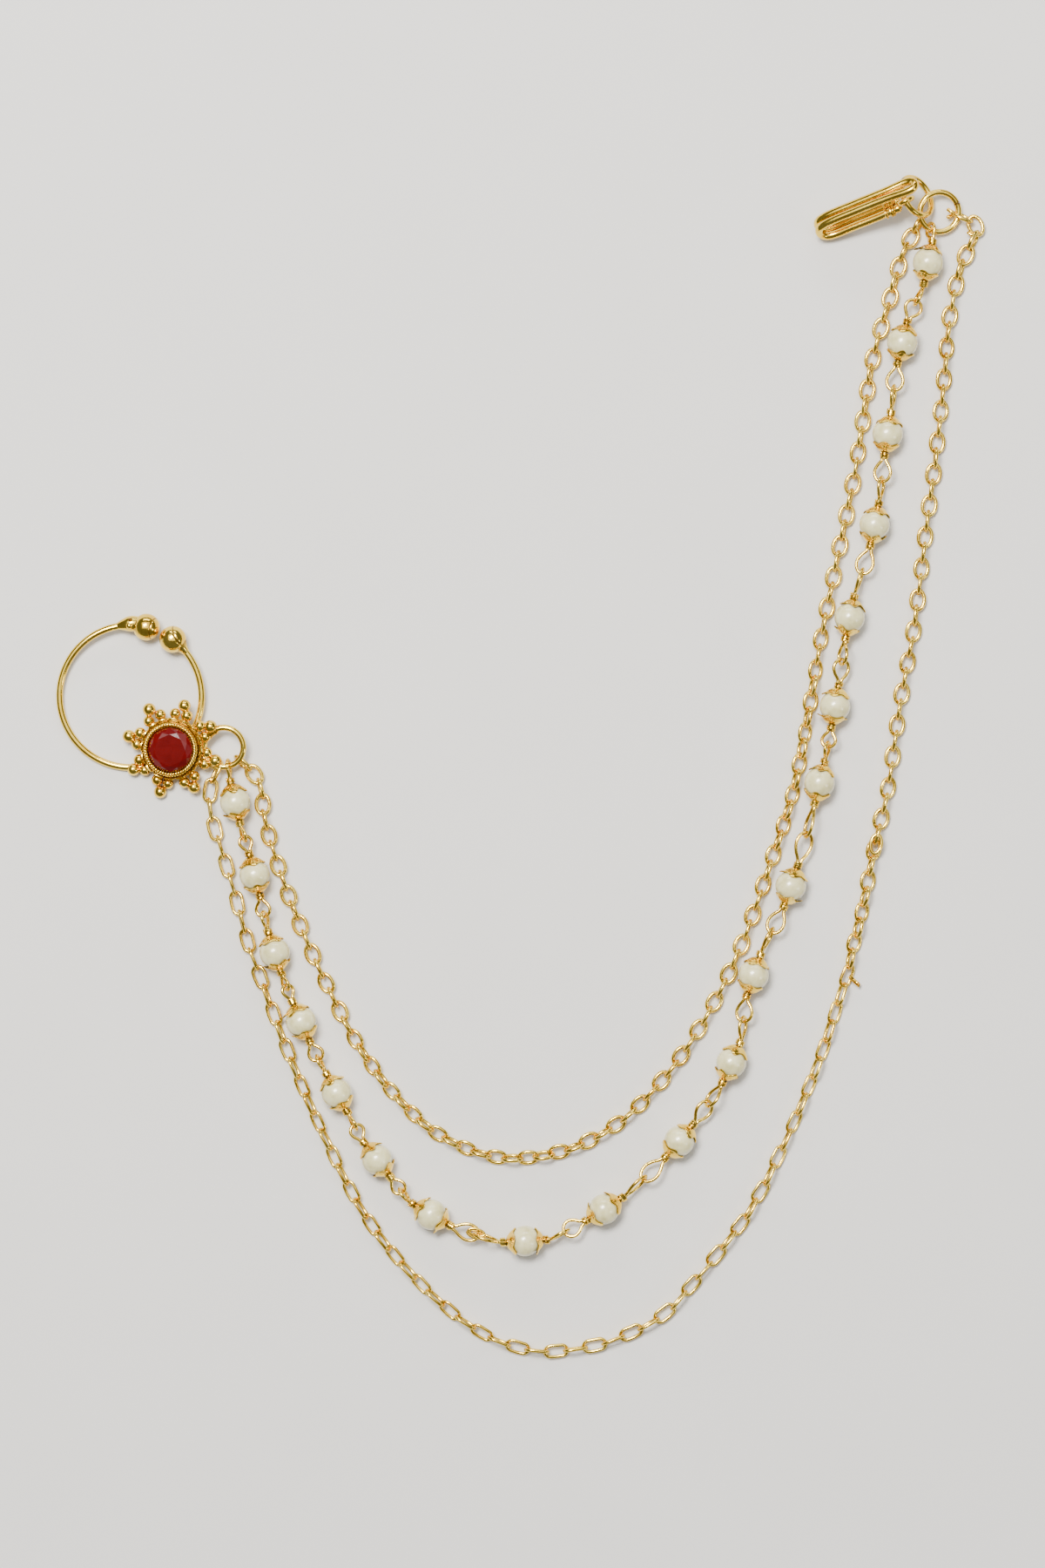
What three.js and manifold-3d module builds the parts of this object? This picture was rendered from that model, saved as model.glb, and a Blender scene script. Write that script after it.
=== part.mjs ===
// A nath: an open nose hoop with a red-stoned rosette, three strands and a hair hook, lying flat.
// Millimetres, +Z up. X and Y lie on the surface, and the origin is the bottom centre of the box.
import * as THREE from "three";
import { ConvexGeometry } from "three/addons/geometries/ConvexGeometry.js";
import { mergeVertices } from "three/addons/utils/BufferGeometryUtils.js";
import Module from "manifold-3d";

const wasm = await Module();
wasm.setup();

// Nose hoop: a wire circle that ends in two balls
const hoopDiameter = 18.4; // at the wire's centre
const hoopWire = 0.9;
const terminalBall = 3.5;
const ballGap = 0.25; // between the two balls
const openingBearing = 65; // degrees from +X, seen from above
const neckLength = 2.0; // the soldered sleeve behind the first ball
const neckDiameter = 1.8;
const neckTaper = 0.4; // share of the sleeve that narrows on to the wire
const neckLip = 0.05; // its end's height over the wire

// Rosette: plate, collar, twisted rim and clusters of granules
const rosetteBearing = -50.6; // where it sits on the hoop
const rosetteInset = 0.6; // from the hoop's centreline towards its centre
const rosetteLean = 5; // the plate's tip from the hoop's plane, in degrees
const leanBearing = -135; // the side that leans down
const plateDiameter = 8.2;
const plateThickness = 0.8;
const plateChamfer = 0.41; // of the plate's lower edge
const plateSeat = 0.22; // underside of the plate above the hoop's plane
const collarDiameter = 7.1;
const collarHeight = 1.1; // above the plate
const collarFoot = { spread: 0.1, height: 0.4 }; // how far the collar widens at its foot
const rimWire = 0.57;
const stoneDiameter = 5.8;
const stoneHeight = 1.5;
const stoneTable = 4.1; // across the table
const girdleRise = 0.52; // height of the girdle, as a share of the stone's
const girdleBand = 0.24;
const starRing = { reach: 0.88, rise: 0.83 }; // as shares of the girdle's radius and the stone's height
const stoneBack = 0.72; // width of the back, as a share of the girdle's
const stoneClearance = 0.1;
const stoneBed = 0.35; // the setting's floor above the plate's top
const clusterCount = 8;
const clusterBearing = 29; // of the first tip granule
const tipGranule = 1.66;
const innerGranule = 1.44;
const innerSpread = 9.6; // degrees to either side of the tip
const granuleSolder = 0.2; // how far soldered granules run into each other
const granuleSink = 0.2; // their centres below the plate's top

// Side ring, soldered to the rosette, which carries the three strands
const sideRingDiameter = 5.9; // outside
const sideRingWire = 0.8;
const sideRingReach = 1.05; // its centre beyond the tip granules' circle
const sideRingBearing = 1.5; // seen from the rosette
const sideRingSolder = 0.1; // how far it sinks below the plate
const sideRingCentre = { x: -37.8, y: 2.6 };

// Strand of pearls on wire pins
const pearlDiameter = 4.0;
const pearlBore = 0.9;
const pinWire = 0.45;
const capClearance = 0.2; // between a pearl and the petals of its caps
const capCrownRise = 0.4; // top of a cap above the pearl's surface
const capPetals = 5;
const petalTip = 30; // latitude on the pearl, degrees
const petalValley = 47;
const wrapDiameter = 1.25;
const wrapLength = 0.8;
const loopWidth = 2.6; // outside
const loopPlay = 0.22; // between two linked wires
const loopLegGap = 0.036; // between a loop's two legs
const loopRoot = 0.4; // share of the wraps that the legs run through
const loopNeck = { along: 0.12, spread: 1.15 }; // shares of the loop's length and the legs' own spread
const loopOutline = [
  { along: 0.42, across: 0.72 },
  { along: 0.7, across: 1.0 },
  { along: 0.92, across: 0.62 },
]; // shares of the loop's length and half width
const loopFullness = 0.42; // greatest half width, as a share of the loop's length

// Chains
const roundLinkWidth = 2.2;
const longLinkWidth = 2.0;
const chainRest = 1.1; // height of the chains' centreline
const chainEndGap = 0.4; // to the ring that holds the chain
const crowdedEndGap = 1.1; // the same, where a pearl's loop holds the ring beside the chain
const tubeStep = 6.0; // along the centreline, between two sections
const splice = 0.3; // between the two lengths of the outer chain

// Jump ring and hook ring at the hair end
const jumpRingDiameter = 5.9; // outside
const jumpRingWire = 0.8;
const jumpRingCentre = { x: 54.5, y: 71.6 };
const jumpRingLift = 1.4; // height of its centre
const jumpRingTilt = 11.3;
const jumpRingHighSide = 140; // bearing
const hookRingDiameter = 6.1; // outside
const hookRingWire = 0.8;
const hookRingTilt = 48;
const hookRingAxis = -62; // bearing of its level diameter
const hookRingOffset = { x: -3.0, y: 1.9 }; // of its centre, from the jump ring's

// Hair hook: a wire doubled side by side and bent back on itself
const hookWire = 1.1;
const hookPairGap = 0.06; // between the two wires
const hookSpacing = 2.6; // between the two tines, centre to centre
const hookLowerLength = 9.6;
const hookUpperLength = 12.7;
const hookTipWidth = 2.6; // outside, at the hairpin end
const hookBearing = 201; // from the eye to the bend
const hookRoll = 36;
const hookEyeBore = 1.15;
const hookEyeWire = 0.7;
const hookEyeSeat = { along: 0.75, down: 0.66 }; // from the eye's centre, as shares of its radius
const hookWireStart = 0.2; // the wires begin this far along the lower tine
const lowerTine = [
  { share: 0.35, sag: 0.1 },
  { share: 0.7, sag: 0.05 },
];
const upperTine = [
  { share: 0.55, rise: 0.1, splay: 0 },
  { share: 0.08, rise: 0.05, splay: 0.15 },
];
const hairpinCrown = [
  { along: 0.3, across: 0.75 },
  { along: 0, across: 0 },
  { along: 0.3, across: -0.75 },
]; // the round end, as shares of its half width
const hookBridge = { along: 0.45, overlap: 0.1, width: 0.9 }; // the joint of the two wires at the eye

// Places chosen along each strand, from the nose side to the hair side
const pearlPlaces = [
  [-36.4, -4.6], [-33.9, -14.0], [-31.3, -24.0], [-27.9, -32.9], [-23.3, -42.1],
  [-18.1, -50.7], [-11.1, -57.8], [1.0, -61.2], [11.2, -57.1], [20.9, -48.3],
  [27.6, -38.2], [30.5, -26.9], [35.3, -15.4], [39.0, -2.1], [41.0, 7.8],
  [42.9, 19.2], [46.1, 31.2], [47.8, 42.9], [49.7, 54.7], [53.0, 65.0],
];
const innerRoute = [
  [-34.0, -1.0], [-33.0, -3.4], [-32.8, -6.0], [-30.9, -12.8], [-27.9, -20.9], [-24.5, -28.4], [-20.7, -35.7],
  [-15.9, -42.3], [-10.0, -47.6], [-2.1, -50.5], [6.3, -49.5], [13.1, -46.0],
  [18.8, -40.4], [23.5, -33.8], [28.4, -24.4], [32.5, -13.1], [35.6, -3.4],
  [37.5, 6.2], [39.2, 16.4], [41.3, 26.6], [43.4, 36.8], [44.7, 44.9],
  [46.0, 52.9], [48.3, 60.9], [49.9, 66.4],
];
const outerLongRoute = [
  [-39.5, -2.3], [-39.8, -4.6], [-39.3, -7.3], [-37.9, -11.8], [-36.7, -15.8],
  [-35.7, -19.6], [-34.4, -24.0], [-32.7, -28.6], [-29.4, -37.4], [-25.5, -46.5],
  [-20.0, -57.4], [-15.0, -64.1], [-7.9, -70.9], [-2.4, -74.2], [2.9, -75.5],
  [7.0, -75.3], [12.0, -74.2], [18.7, -70.9], [23.2, -66.2], [26.6, -62.0],
  [29.9, -57.6], [33.6, -50.6], [36.6, -43.9], [39.3, -37.1], [41.5, -30.4],
  [42.6, -27.0],
];
const outerRoundRoute = [
  [42.6, -27.0], [43.3, -23.6], [44.2, -20.2], [44.9, -16.9], [46.2, -10.1],
  [47.8, -3.4], [48.8, 3.4], [49.8, 10.1], [51.1, 16.9], [52.0, 23.6],
  [52.8, 30.4], [53.7, 37.1], [54.5, 43.9], [55.2, 50.6], [55.8, 57.4],
  [56.5, 61.3], [57.4, 64.7], [58.2, 66.6], [59.1, 68.4], [59.2, 70.0],
];

// Where each strand takes hold of its ring, as a bearing on the ring
const nosePearlHold = -76;
const noseInnerHold = -39;
const noseOuterHold = -106;
const hairPearlHold = -116;
const hairInnerHold = -158;
const hairOuterHold = -8;

// Turn of the first loop at each joint of the strand, from level; the second loop stands square to it
const loopTurns = [70, 20, 60, 10, 75, 15, 10, 80, 70, 30, 65, 75, 20, 70, 25, 80, 70, 75, 10];

// Facets
const wireSides = 6;
const pinSides = 5;
const tubeSides = 8;
const loopSteps = 8;
const hoopSteps = 26;
const hookSteps = 36;
const beadSides = 10;
const beadLatitude = 40;
const neckSides = 8;
const rosetteSides = 20;
const ringAround = 16;
const sideRingAround = 14;
const eyeAround = 10;
const terminalFacets = { around: 10, rows: 7 };
const tipFacets = { around: 8, rows: 5 };
const innerFacets = { around: 8, rows: 4 };

const up = new THREE.Vector3(0, 0, 1);
const radians = THREE.MathUtils.degToRad;

const gold = new THREE.MeshStandardMaterial({ color: 0xd9a441, metalness: 1, roughness: 0.28 });
const pearlWhite = new THREE.MeshStandardMaterial({ color: 0xece4cc, metalness: 0, roughness: 0.3 });
const stoneRed = new THREE.MeshStandardMaterial({ color: 0x8c0f14, metalness: 0, roughness: 0.12 });

// Solids

// A closed geometry as a manifold solid, with its shared corners merged.
function solidOf(geometry) {
  const plain = geometry.index ? geometry.toNonIndexed() : geometry.clone();
  plain.deleteAttribute("normal");
  plain.deleteAttribute("uv");
  const merged = mergeVertices(plain, 1e-4);
  return new wasm.Manifold(
    new wasm.Mesh({
      numProp: 3,
      vertProperties: merged.attributes.position.array,
      triVerts: new Uint32Array(merged.index.array),
    }),
  );
}

function geometryOf(solid) {
  const mesh = solid.getMesh();
  const geometry = new THREE.BufferGeometry();
  geometry.setAttribute("position", new THREE.BufferAttribute(mesh.vertProperties, 3));
  geometry.setIndex(new THREE.BufferAttribute(mesh.triVerts, 1));
  geometry.computeVertexNormals();
  return geometry;
}

function joined(geometries) {
  const solids = geometries.map(solidOf);
  return geometryOf(solids.reduce((whole, piece) => whole.add(piece)));
}

function named(name, geometry, material) {
  const mesh = new THREE.Mesh(geometry, material);
  mesh.name = name;
  return mesh;
}

// Shapes

function bearing(degrees, reach = 1) {
  return new THREE.Vector3(Math.cos(radians(degrees)), Math.sin(radians(degrees)), 0).multiplyScalar(reach);
}

// A regular section whose flats face along the shape's axes.
function section(radius, sides) {
  const points = [];
  for (let i = 0; i < sides; i++) {
    const turn = ((i + 0.5) / sides) * 2 * Math.PI;
    points.push(new THREE.Vector2(radius * Math.cos(turn), radius * Math.sin(turn)));
  }
  return new THREE.Shape(points);
}

function wireAlong(points, diameter, sides, steps) {
  const path = new THREE.CatmullRomCurve3(points, false, "centripetal");
  const options = { steps, bevelEnabled: false, extrudePath: path };
  return new THREE.ExtrudeGeometry(section(diameter / 2, sides), options);
}

// A surface of revolution about +Z from [radius, height] pairs, listed upwards along the outside.
function turned(profile, sides) {
  const points = profile.map(([radius, height]) => new THREE.Vector2(radius, height));
  return new THREE.LatheGeometry(points, sides).rotateX(Math.PI / 2);
}

function ringOf(outside, wire, around, sides = wireSides) {
  const middle = (outside - wire) / 2;
  const profile = [];
  for (let i = 0; i <= sides; i++) {
    const turn = ((i % sides) / sides) * 2 * Math.PI;
    profile.push([middle + (wire / 2) * Math.cos(turn), (wire / 2) * Math.sin(turn)]);
  }
  return turned(profile, around);
}

function ball(diameter, facets) {
  return new THREE.SphereGeometry(diameter / 2, facets.around, facets.rows).rotateX(Math.PI / 2);
}

// The frame of a ring: its centre, and two unit vectors in its plane.
function ringFrame(centre, across, along) {
  return { centre, across, along, normal: across.clone().cross(along) };
}

function onRing(frame, radius, degrees) {
  const angle = radians(degrees);
  return frame.centre
    .clone()
    .addScaledVector(frame.across, radius * Math.cos(angle))
    .addScaledVector(frame.along, radius * Math.sin(angle));
}

function tangentOfRing(frame, degrees) {
  const angle = radians(degrees);
  return new THREE.Vector3()
    .addScaledVector(frame.across, -Math.sin(angle))
    .addScaledVector(frame.along, Math.cos(angle));
}

function matrixOf(frame) {
  return new THREE.Matrix4()
    .makeBasis(frame.across, frame.along, frame.normal)
    .setPosition(frame.centre);
}

// The frame of a ring whose side at a bearing is tipped down by an angle.
function tippedFrame(centre, lowSide, angle) {
  const axis = up.clone().cross(bearing(lowSide));
  const tip = new THREE.Quaternion().setFromAxisAngle(axis, radians(angle));
  return ringFrame(
    centre,
    new THREE.Vector3(1, 0, 0).applyQuaternion(tip),
    new THREE.Vector3(0, 1, 0).applyQuaternion(tip),
  );
}

// Nose ring

const hoopRadius = hoopDiameter / 2;
const ballHalfAngle = THREE.MathUtils.radToDeg(Math.asin((terminalBall + ballGap) / 2 / hoopRadius));

// The balls and the wire opposite them touch the surface, which tips the hoop.
const hoopRise = (terminalBall - hoopWire) / 2 / (hoopRadius * (1 + Math.cos(radians(ballHalfAngle))));
const hoopTilt = THREE.MathUtils.radToDeg(Math.asin(hoopRise));
const hoopLift = hoopWire / 2 + hoopRadius * hoopRise;

// Granules touch: the inner ones the plate, the tip one both inner ones.
const innerReach = plateDiameter / 2 + innerGranule / 2 - granuleSolder;
const granulePitch = (tipGranule + innerGranule) / 2 - granuleSolder;
const innerHalfSpan = innerReach * Math.sin(radians(innerSpread));
const tipRise = Math.sqrt(granulePitch ** 2 - innerHalfSpan ** 2);
const tipReach = innerReach * Math.cos(radians(innerSpread)) + tipRise;

const rosetteReach = hoopRadius - rosetteInset;
const ringFromRosette = tipReach + sideRingReach;
const hoopToSideRing = bearing(rosetteBearing, rosetteReach).add(bearing(sideRingBearing, ringFromRosette));
const hoopCentre = new THREE.Vector3(
  sideRingCentre.x - hoopToSideRing.x,
  sideRingCentre.y - hoopToSideRing.y,
  hoopLift,
);
const hoopFrame = tippedFrame(hoopCentre, openingBearing + 180, hoopTilt);
const rosetteFrame = tippedFrame(bearing(rosetteBearing, rosetteReach), leanBearing, rosetteLean);

function hoopParts() {
  const parts = [];
  const arc = 360 - 2 * ballHalfAngle;
  const points = [];
  for (let i = 0; i <= hoopSteps; i++) {
    points.push(bearing(openingBearing + ballHalfAngle + (arc * i) / hoopSteps, hoopRadius));
  }
  parts.push(wireAlong(points, hoopWire, wireSides, hoopSteps));
  for (const side of [1, -1]) {
    const place = bearing(openingBearing + side * ballHalfAngle, hoopRadius);
    parts.push(ball(terminalBall, terminalFacets).translate(place.x, place.y, 0));
  }
  parts.push(neck());
  return parts;
}

// The soldered sleeve that tapers from the first ball back on to the wire.
function neck() {
  const reach = THREE.MathUtils.radToDeg((terminalBall / 2 + neckLength) / hoopRadius);
  const from = bearing(openingBearing + ballHalfAngle, hoopRadius);
  const to = bearing(openingBearing + ballHalfAngle + reach, hoopRadius);
  const length = from.distanceTo(to);
  const radius = neckDiameter / 2;
  const straight = length * (1 - neckTaper);
  const end = hoopWire / 2 + neckLip;
  const cone = turned([[0, 0], [radius, 0], [radius, straight], [end, length], [0, length]], neckSides);
  const turn = new THREE.Quaternion().setFromUnitVectors(up, to.clone().sub(from).normalize());
  return cone.applyQuaternion(turn).translate(from.x, from.y, from.z);
}

const plateTop = plateSeat + plateThickness;
const collarTop = plateTop + collarHeight;
const stoneSeat = plateTop + stoneBed;
const granuleLevel = plateTop - granuleSink;
const settingBore = stoneDiameter + 2 * stoneClearance;
const rimDiameter = settingBore + 2 * rimWire;

// The plate, the collar with its open cup, and the twisted rim as one turned piece.
function rosetteBody() {
  const plate = plateDiameter / 2;
  const collar = collarDiameter / 2;
  const bore = settingBore / 2;
  return turned(
    [
      [0, plateSeat],
      [plate - plateChamfer, plateSeat],
      [plate, plateSeat + plateThickness / 2],
      [collar + collarFoot.spread, plateTop],
      [collar - collarFoot.spread, plateTop + collarFoot.height],
      [collar - collarFoot.spread, collarTop - rimWire / 2],
      [rimDiameter / 2, collarTop],
      [rimDiameter / 2 - rimWire / 2, collarTop + rimWire / 2],
      [bore, collarTop],
      [bore, stoneSeat - stoneClearance],
      [0, stoneSeat - stoneClearance],
    ],
    rosetteSides,
  );
}

function granules() {
  const parts = [];
  for (let i = 0; i < clusterCount; i++) {
    const tip = clusterBearing + (360 / clusterCount) * i;
    const tipPlace = bearing(tip, tipReach);
    parts.push(ball(tipGranule, tipFacets).translate(tipPlace.x, tipPlace.y, granuleLevel));
    for (const side of [-1, 1]) {
      const place = bearing(tip + side * innerSpread, innerReach);
      parts.push(ball(innerGranule, innerFacets).translate(place.x, place.y, granuleLevel));
    }
  }
  return parts;
}

const sideRingLevel = plateSeat + sideRingWire / 2 - sideRingSolder;
const sideRingInRosette = bearing(sideRingBearing, ringFromRosette).setZ(sideRingLevel);

function rosetteParts() {
  const ring = ringOf(sideRingDiameter, sideRingWire, sideRingAround);
  ring.translate(sideRingInRosette.x, sideRingInRosette.y, sideRingInRosette.z);
  return [rosetteBody(), ...granules(), ring].map((part) => part.applyMatrix4(matrixOf(rosetteFrame)));
}

// A cut stone: an eight-sided table, kite facets round it, a girdle and a tapered back.
function redStone() {
  const girdle = stoneDiameter / 2;
  const girdleHeight = stoneHeight * girdleRise;
  const points = [];
  const circle = (count, radius, height, offset) => {
    for (let i = 0; i < count; i++) {
      const turn = ((i + offset) / count) * 2 * Math.PI;
      points.push(new THREE.Vector3(radius * Math.cos(turn), radius * Math.sin(turn), height));
    }
  };
  circle(8, stoneTable / 2, stoneHeight, 0);
  circle(8, girdle * starRing.reach, stoneHeight * starRing.rise, 0.5);
  circle(16, girdle, girdleHeight + girdleBand / 2, 0);
  circle(16, girdle, girdleHeight - girdleBand / 2, 0);
  circle(8, girdle * stoneBack, 0, 0);
  return new ConvexGeometry(points).translate(0, 0, stoneSeat);
}

function noseRing() {
  const group = new THREE.Group();
  const inHoop = matrixOf(hoopFrame);
  const metal = joined([...hoopParts(), ...rosetteParts()]).applyMatrix4(inHoop);
  const stone = redStone().applyMatrix4(matrixOf(rosetteFrame)).applyMatrix4(inHoop);
  group.add(named("nose_ring", metal, gold));
  group.add(named("red_stone", stone, stoneRed));
  return group;
}

const sideRingRadius = (sideRingDiameter - sideRingWire) / 2;
const sideRingFrame = (() => {
  const toPart = matrixOf(hoopFrame).multiply(matrixOf(rosetteFrame));
  return ringFrame(
    sideRingInRosette.clone().applyMatrix4(toPart),
    new THREE.Vector3(1, 0, 0).transformDirection(toPart),
    new THREE.Vector3(0, 1, 0).transformDirection(toPart),
  );
})();

// Rings at the hair end

const jumpRingRadius = (jumpRingDiameter - jumpRingWire) / 2;
const jumpRingFrame = tippedFrame(
  new THREE.Vector3(jumpRingCentre.x, jumpRingCentre.y, jumpRingLift),
  jumpRingHighSide + 180,
  jumpRingTilt,
);

const hookRingRadius = (hookRingDiameter - hookRingWire) / 2;
const hookRingFrame = (() => {
  const tilt = radians(hookRingTilt);
  const lift = hookRingWire / 2 + hookRingRadius * Math.sin(tilt);
  const down = bearing(hookRingAxis + 90, Math.cos(tilt)).setZ(-Math.sin(tilt));
  const centre = new THREE.Vector3(
    jumpRingCentre.x + hookRingOffset.x,
    jumpRingCentre.y + hookRingOffset.y,
    lift,
  );
  return ringFrame(centre, bearing(hookRingAxis), down);
})();

// Hair hook

// The hook's frame: run points from the eye to the bend, rise from the lower tine to the upper one.
function hookFrame() {
  const eyeCentre = onRing(hookRingFrame, hookRingRadius, -90);
  const eyeRadius = (hookEyeBore + hookEyeWire) / 2;
  const start = eyeCentre.clone().add(bearing(hookBearing, eyeRadius * hookEyeSeat.along));
  start.z -= eyeRadius * hookEyeSeat.down;
  const level = bearing(hookBearing - 90);
  const bendHeight = hookWire / 2 + ((hookWire + hookPairGap) / 2) * Math.sin(radians(hookRoll));
  const slope = Math.asin((start.z - bendHeight) / hookLowerLength);
  const run = bearing(hookBearing, Math.cos(slope)).setZ(-Math.sin(slope));
  const upright = level.clone().cross(run).normalize();
  if (upright.z < 0) upright.negate();
  const roll = radians(hookRoll);
  const rise = upright.clone().multiplyScalar(Math.cos(roll)).addScaledVector(level, Math.sin(roll));
  const side = level.clone().multiplyScalar(Math.cos(roll)).addScaledVector(upright, -Math.sin(roll));
  return { start, run, rise, side, eyeCentre };
}

function hairHook() {
  const frame = hookFrame();
  const place = (along, height, across) =>
    frame.start
      .clone()
      .addScaledVector(frame.run, along)
      .addScaledVector(frame.rise, height)
      .addScaledVector(frame.side, across);
  const pair = (hookWire + hookPairGap) / 2;
  const bend = hookSpacing / 2;
  const spread = (hookTipWidth - hookWire) / 2;
  const tip = hookLowerLength - hookUpperLength;
  const half = [place(hookWireStart, 0, pair)];
  for (const { share, sag } of lowerTine) half.push(place(hookLowerLength * share, -sag, pair));
  for (const turn of [0, 45, 90, 135, 180]) {
    const angle = radians(turn);
    half.push(place(hookLowerLength + bend * Math.sin(angle), bend - bend * Math.cos(angle), pair));
  }
  for (const { share, rise, splay } of upperTine) {
    half.push(place(hookLowerLength * share, hookSpacing + rise, pair + (spread - pair) * splay));
  }
  half.push(place(tip + spread, hookSpacing, spread));
  const points = [...half];
  for (const { along, across } of hairpinCrown) {
    points.push(place(tip + spread * along, hookSpacing, spread * across));
  }
  for (const point of half.reverse()) {
    const across = point.clone().sub(frame.start).dot(frame.side);
    points.push(point.clone().addScaledVector(frame.side, -2 * across));
  }
  const eye = ringOf(hookEyeBore + 2 * hookEyeWire, hookEyeWire, eyeAround);
  const eyeAcross = frame.start.clone().sub(frame.eyeCentre).normalize();
  const eyeNormal = tangentOfRing(hookRingFrame, -90);
  const eyeAlong = eyeNormal.clone().cross(eyeAcross).normalize();
  eye.applyMatrix4(matrixOf(ringFrame(frame.eyeCentre, eyeAlong.clone().cross(eyeNormal), eyeAlong)));
  const bridgeEnd = (side) => place(hookBridge.along, 0, side * (pair + hookBridge.overlap));
  const bridge = wireAlong([bridgeEnd(-1), bridgeEnd(1)], hookWire * hookBridge.width, wireSides, 1);
  return named("hair_hook", joined([wireAlong(points, hookWire, wireSides, hookSteps), eye, bridge]), gold);
}

function hairRings() {
  const jump = ringOf(jumpRingDiameter, jumpRingWire, ringAround).applyMatrix4(matrixOf(jumpRingFrame));
  const hook = ringOf(hookRingDiameter, hookRingWire, ringAround).applyMatrix4(matrixOf(hookRingFrame));
  return [named("hair_jump_ring", jump, gold), named("hook_ring", hook, gold)];
}

// Strand of pearls

const pearlRadius = pearlDiameter / 2;
const capInner = pearlRadius + capClearance;
const wrapStart = pearlRadius + capCrownRise;
const wrapEnd = wrapStart + wrapLength;
const linkDepth = pinWire + loopPlay; // how far two linked loops reach into each other

// A drilled bead about +Z.
function pearlShape() {
  const bore = pearlBore / 2;
  const latitude = THREE.MathUtils.radToDeg(Math.acos(bore / pearlRadius));
  const profile = [-latitude, -beadLatitude, 0, beadLatitude, latitude].map((degrees) => [
    pearlRadius * Math.cos(radians(degrees)),
    pearlRadius * Math.sin(radians(degrees)),
  ]);
  return turned([...profile, profile[0]], beadSides);
}

// The pin, its wraps and its two petal caps, about +Z.
function cappedPin() {
  const pin = pinWire / 2;
  const wrap = wrapDiameter / 2;
  const rim = (petalTip + petalValley) / 2;
  const onSphere = (radius, degrees) => [
    radius * Math.cos(radians(degrees)),
    radius * Math.sin(radians(degrees)),
  ];
  const upper = [
    [pin, wrapStart],
    onSphere(capInner, rim),
    [wrap, wrapStart],
    [wrap, wrapEnd],
    [0, wrapEnd],
  ];
  const lower = upper.map(([radius, height]) => [radius, -height]).reverse();
  const shape = turned([...lower, ...upper], capPetals * 2);
  return withPetals(shape, rim);
}

// Moves the caps' rims along the pearl, so that each cap has petals.
function withPetals(shape, rim) {
  const place = shape.attributes.position;
  const point = new THREE.Vector3();
  for (let i = 0; i < place.count; i++) {
    point.fromBufferAttribute(place, i);
    const radius = point.length();
    const latitude = THREE.MathUtils.radToDeg(Math.asin(Math.abs(point.z) / radius));
    if (Math.abs(latitude - rim) > 0.5) continue;
    const around = Math.atan2(point.y, point.x);
    const wave = Math.sin(capPetals * around) > 0 ? petalTip : petalValley;
    const turn = radians(wave);
    const height = Math.sign(point.z) * radius * Math.sin(turn);
    place.setXYZ(i, radius * Math.cos(turn) * Math.cos(around), radius * Math.cos(turn) * Math.sin(around), height);
  }
  return shape;
}

// A teardrop loop of wire from a neck to its far end, in the plane square to normal.
function loopShape(neckPoint, pinAxis, farEnd, normal) {
  const reach = farEnd.clone().sub(neckPoint);
  const length = reach.length();
  const along = reach.normalize();
  const side = normal.clone().cross(along).normalize();
  const half = Math.min((loopWidth - pinWire) / 2, length * loopFullness);
  const leg = (pinWire + loopLegGap) / 2;
  const outline = [[loopNeck.along, leg * loopNeck.spread]];
  for (const { along: share, across } of loopOutline) outline.push([share, half * across]);
  const place = (share, across) =>
    neckPoint.clone().addScaledVector(along, share * length).addScaledVector(side, across);
  const deep = neckPoint.clone().addScaledVector(pinAxis, -loopRoot * wrapLength);
  const root = (across) => deep.clone().addScaledVector(side, across);
  const points = [root(leg)];
  for (const [share, across] of outline) points.push(place(share, across));
  points.push(farEnd.clone());
  for (const [share, across] of [...outline].reverse()) points.push(place(share, -across));
  points.push(root(-leg));
  return wireAlong(points, pinWire, pinSides, loopSteps);
}

// The strand's pearls, each with its axis and its two neck points.
function pearlSeats() {
  const centres = pearlPlaces.map(([x, y]) => new THREE.Vector3(x, y, pearlRadius));
  const noseHold = onRing(sideRingFrame, sideRingRadius, nosePearlHold);
  const hairHold = onRing(jumpRingFrame, jumpRingRadius, hairPearlHold);
  return centres.map((centre, i) => {
    const before = i > 0 ? centres[i - 1] : noseHold;
    const after = i < centres.length - 1 ? centres[i + 1] : hairHold;
    const inward = centre.clone().sub(before).setZ(0).normalize();
    const outward = after.clone().sub(centre).setZ(0).normalize();
    const axis = inward.add(outward).normalize();
    return {
      centre,
      axis,
      back: centre.clone().addScaledVector(axis, -wrapEnd),
      front: centre.clone().addScaledVector(axis, wrapEnd),
    };
  });
}

// A direction square to a line, turned about it from level.
function turnedNormal(line, degrees) {
  const along = line.clone().normalize();
  const level = up.clone().addScaledVector(along, -up.dot(along)).normalize();
  return level.applyAxisAngle(along, radians(degrees));
}

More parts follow.
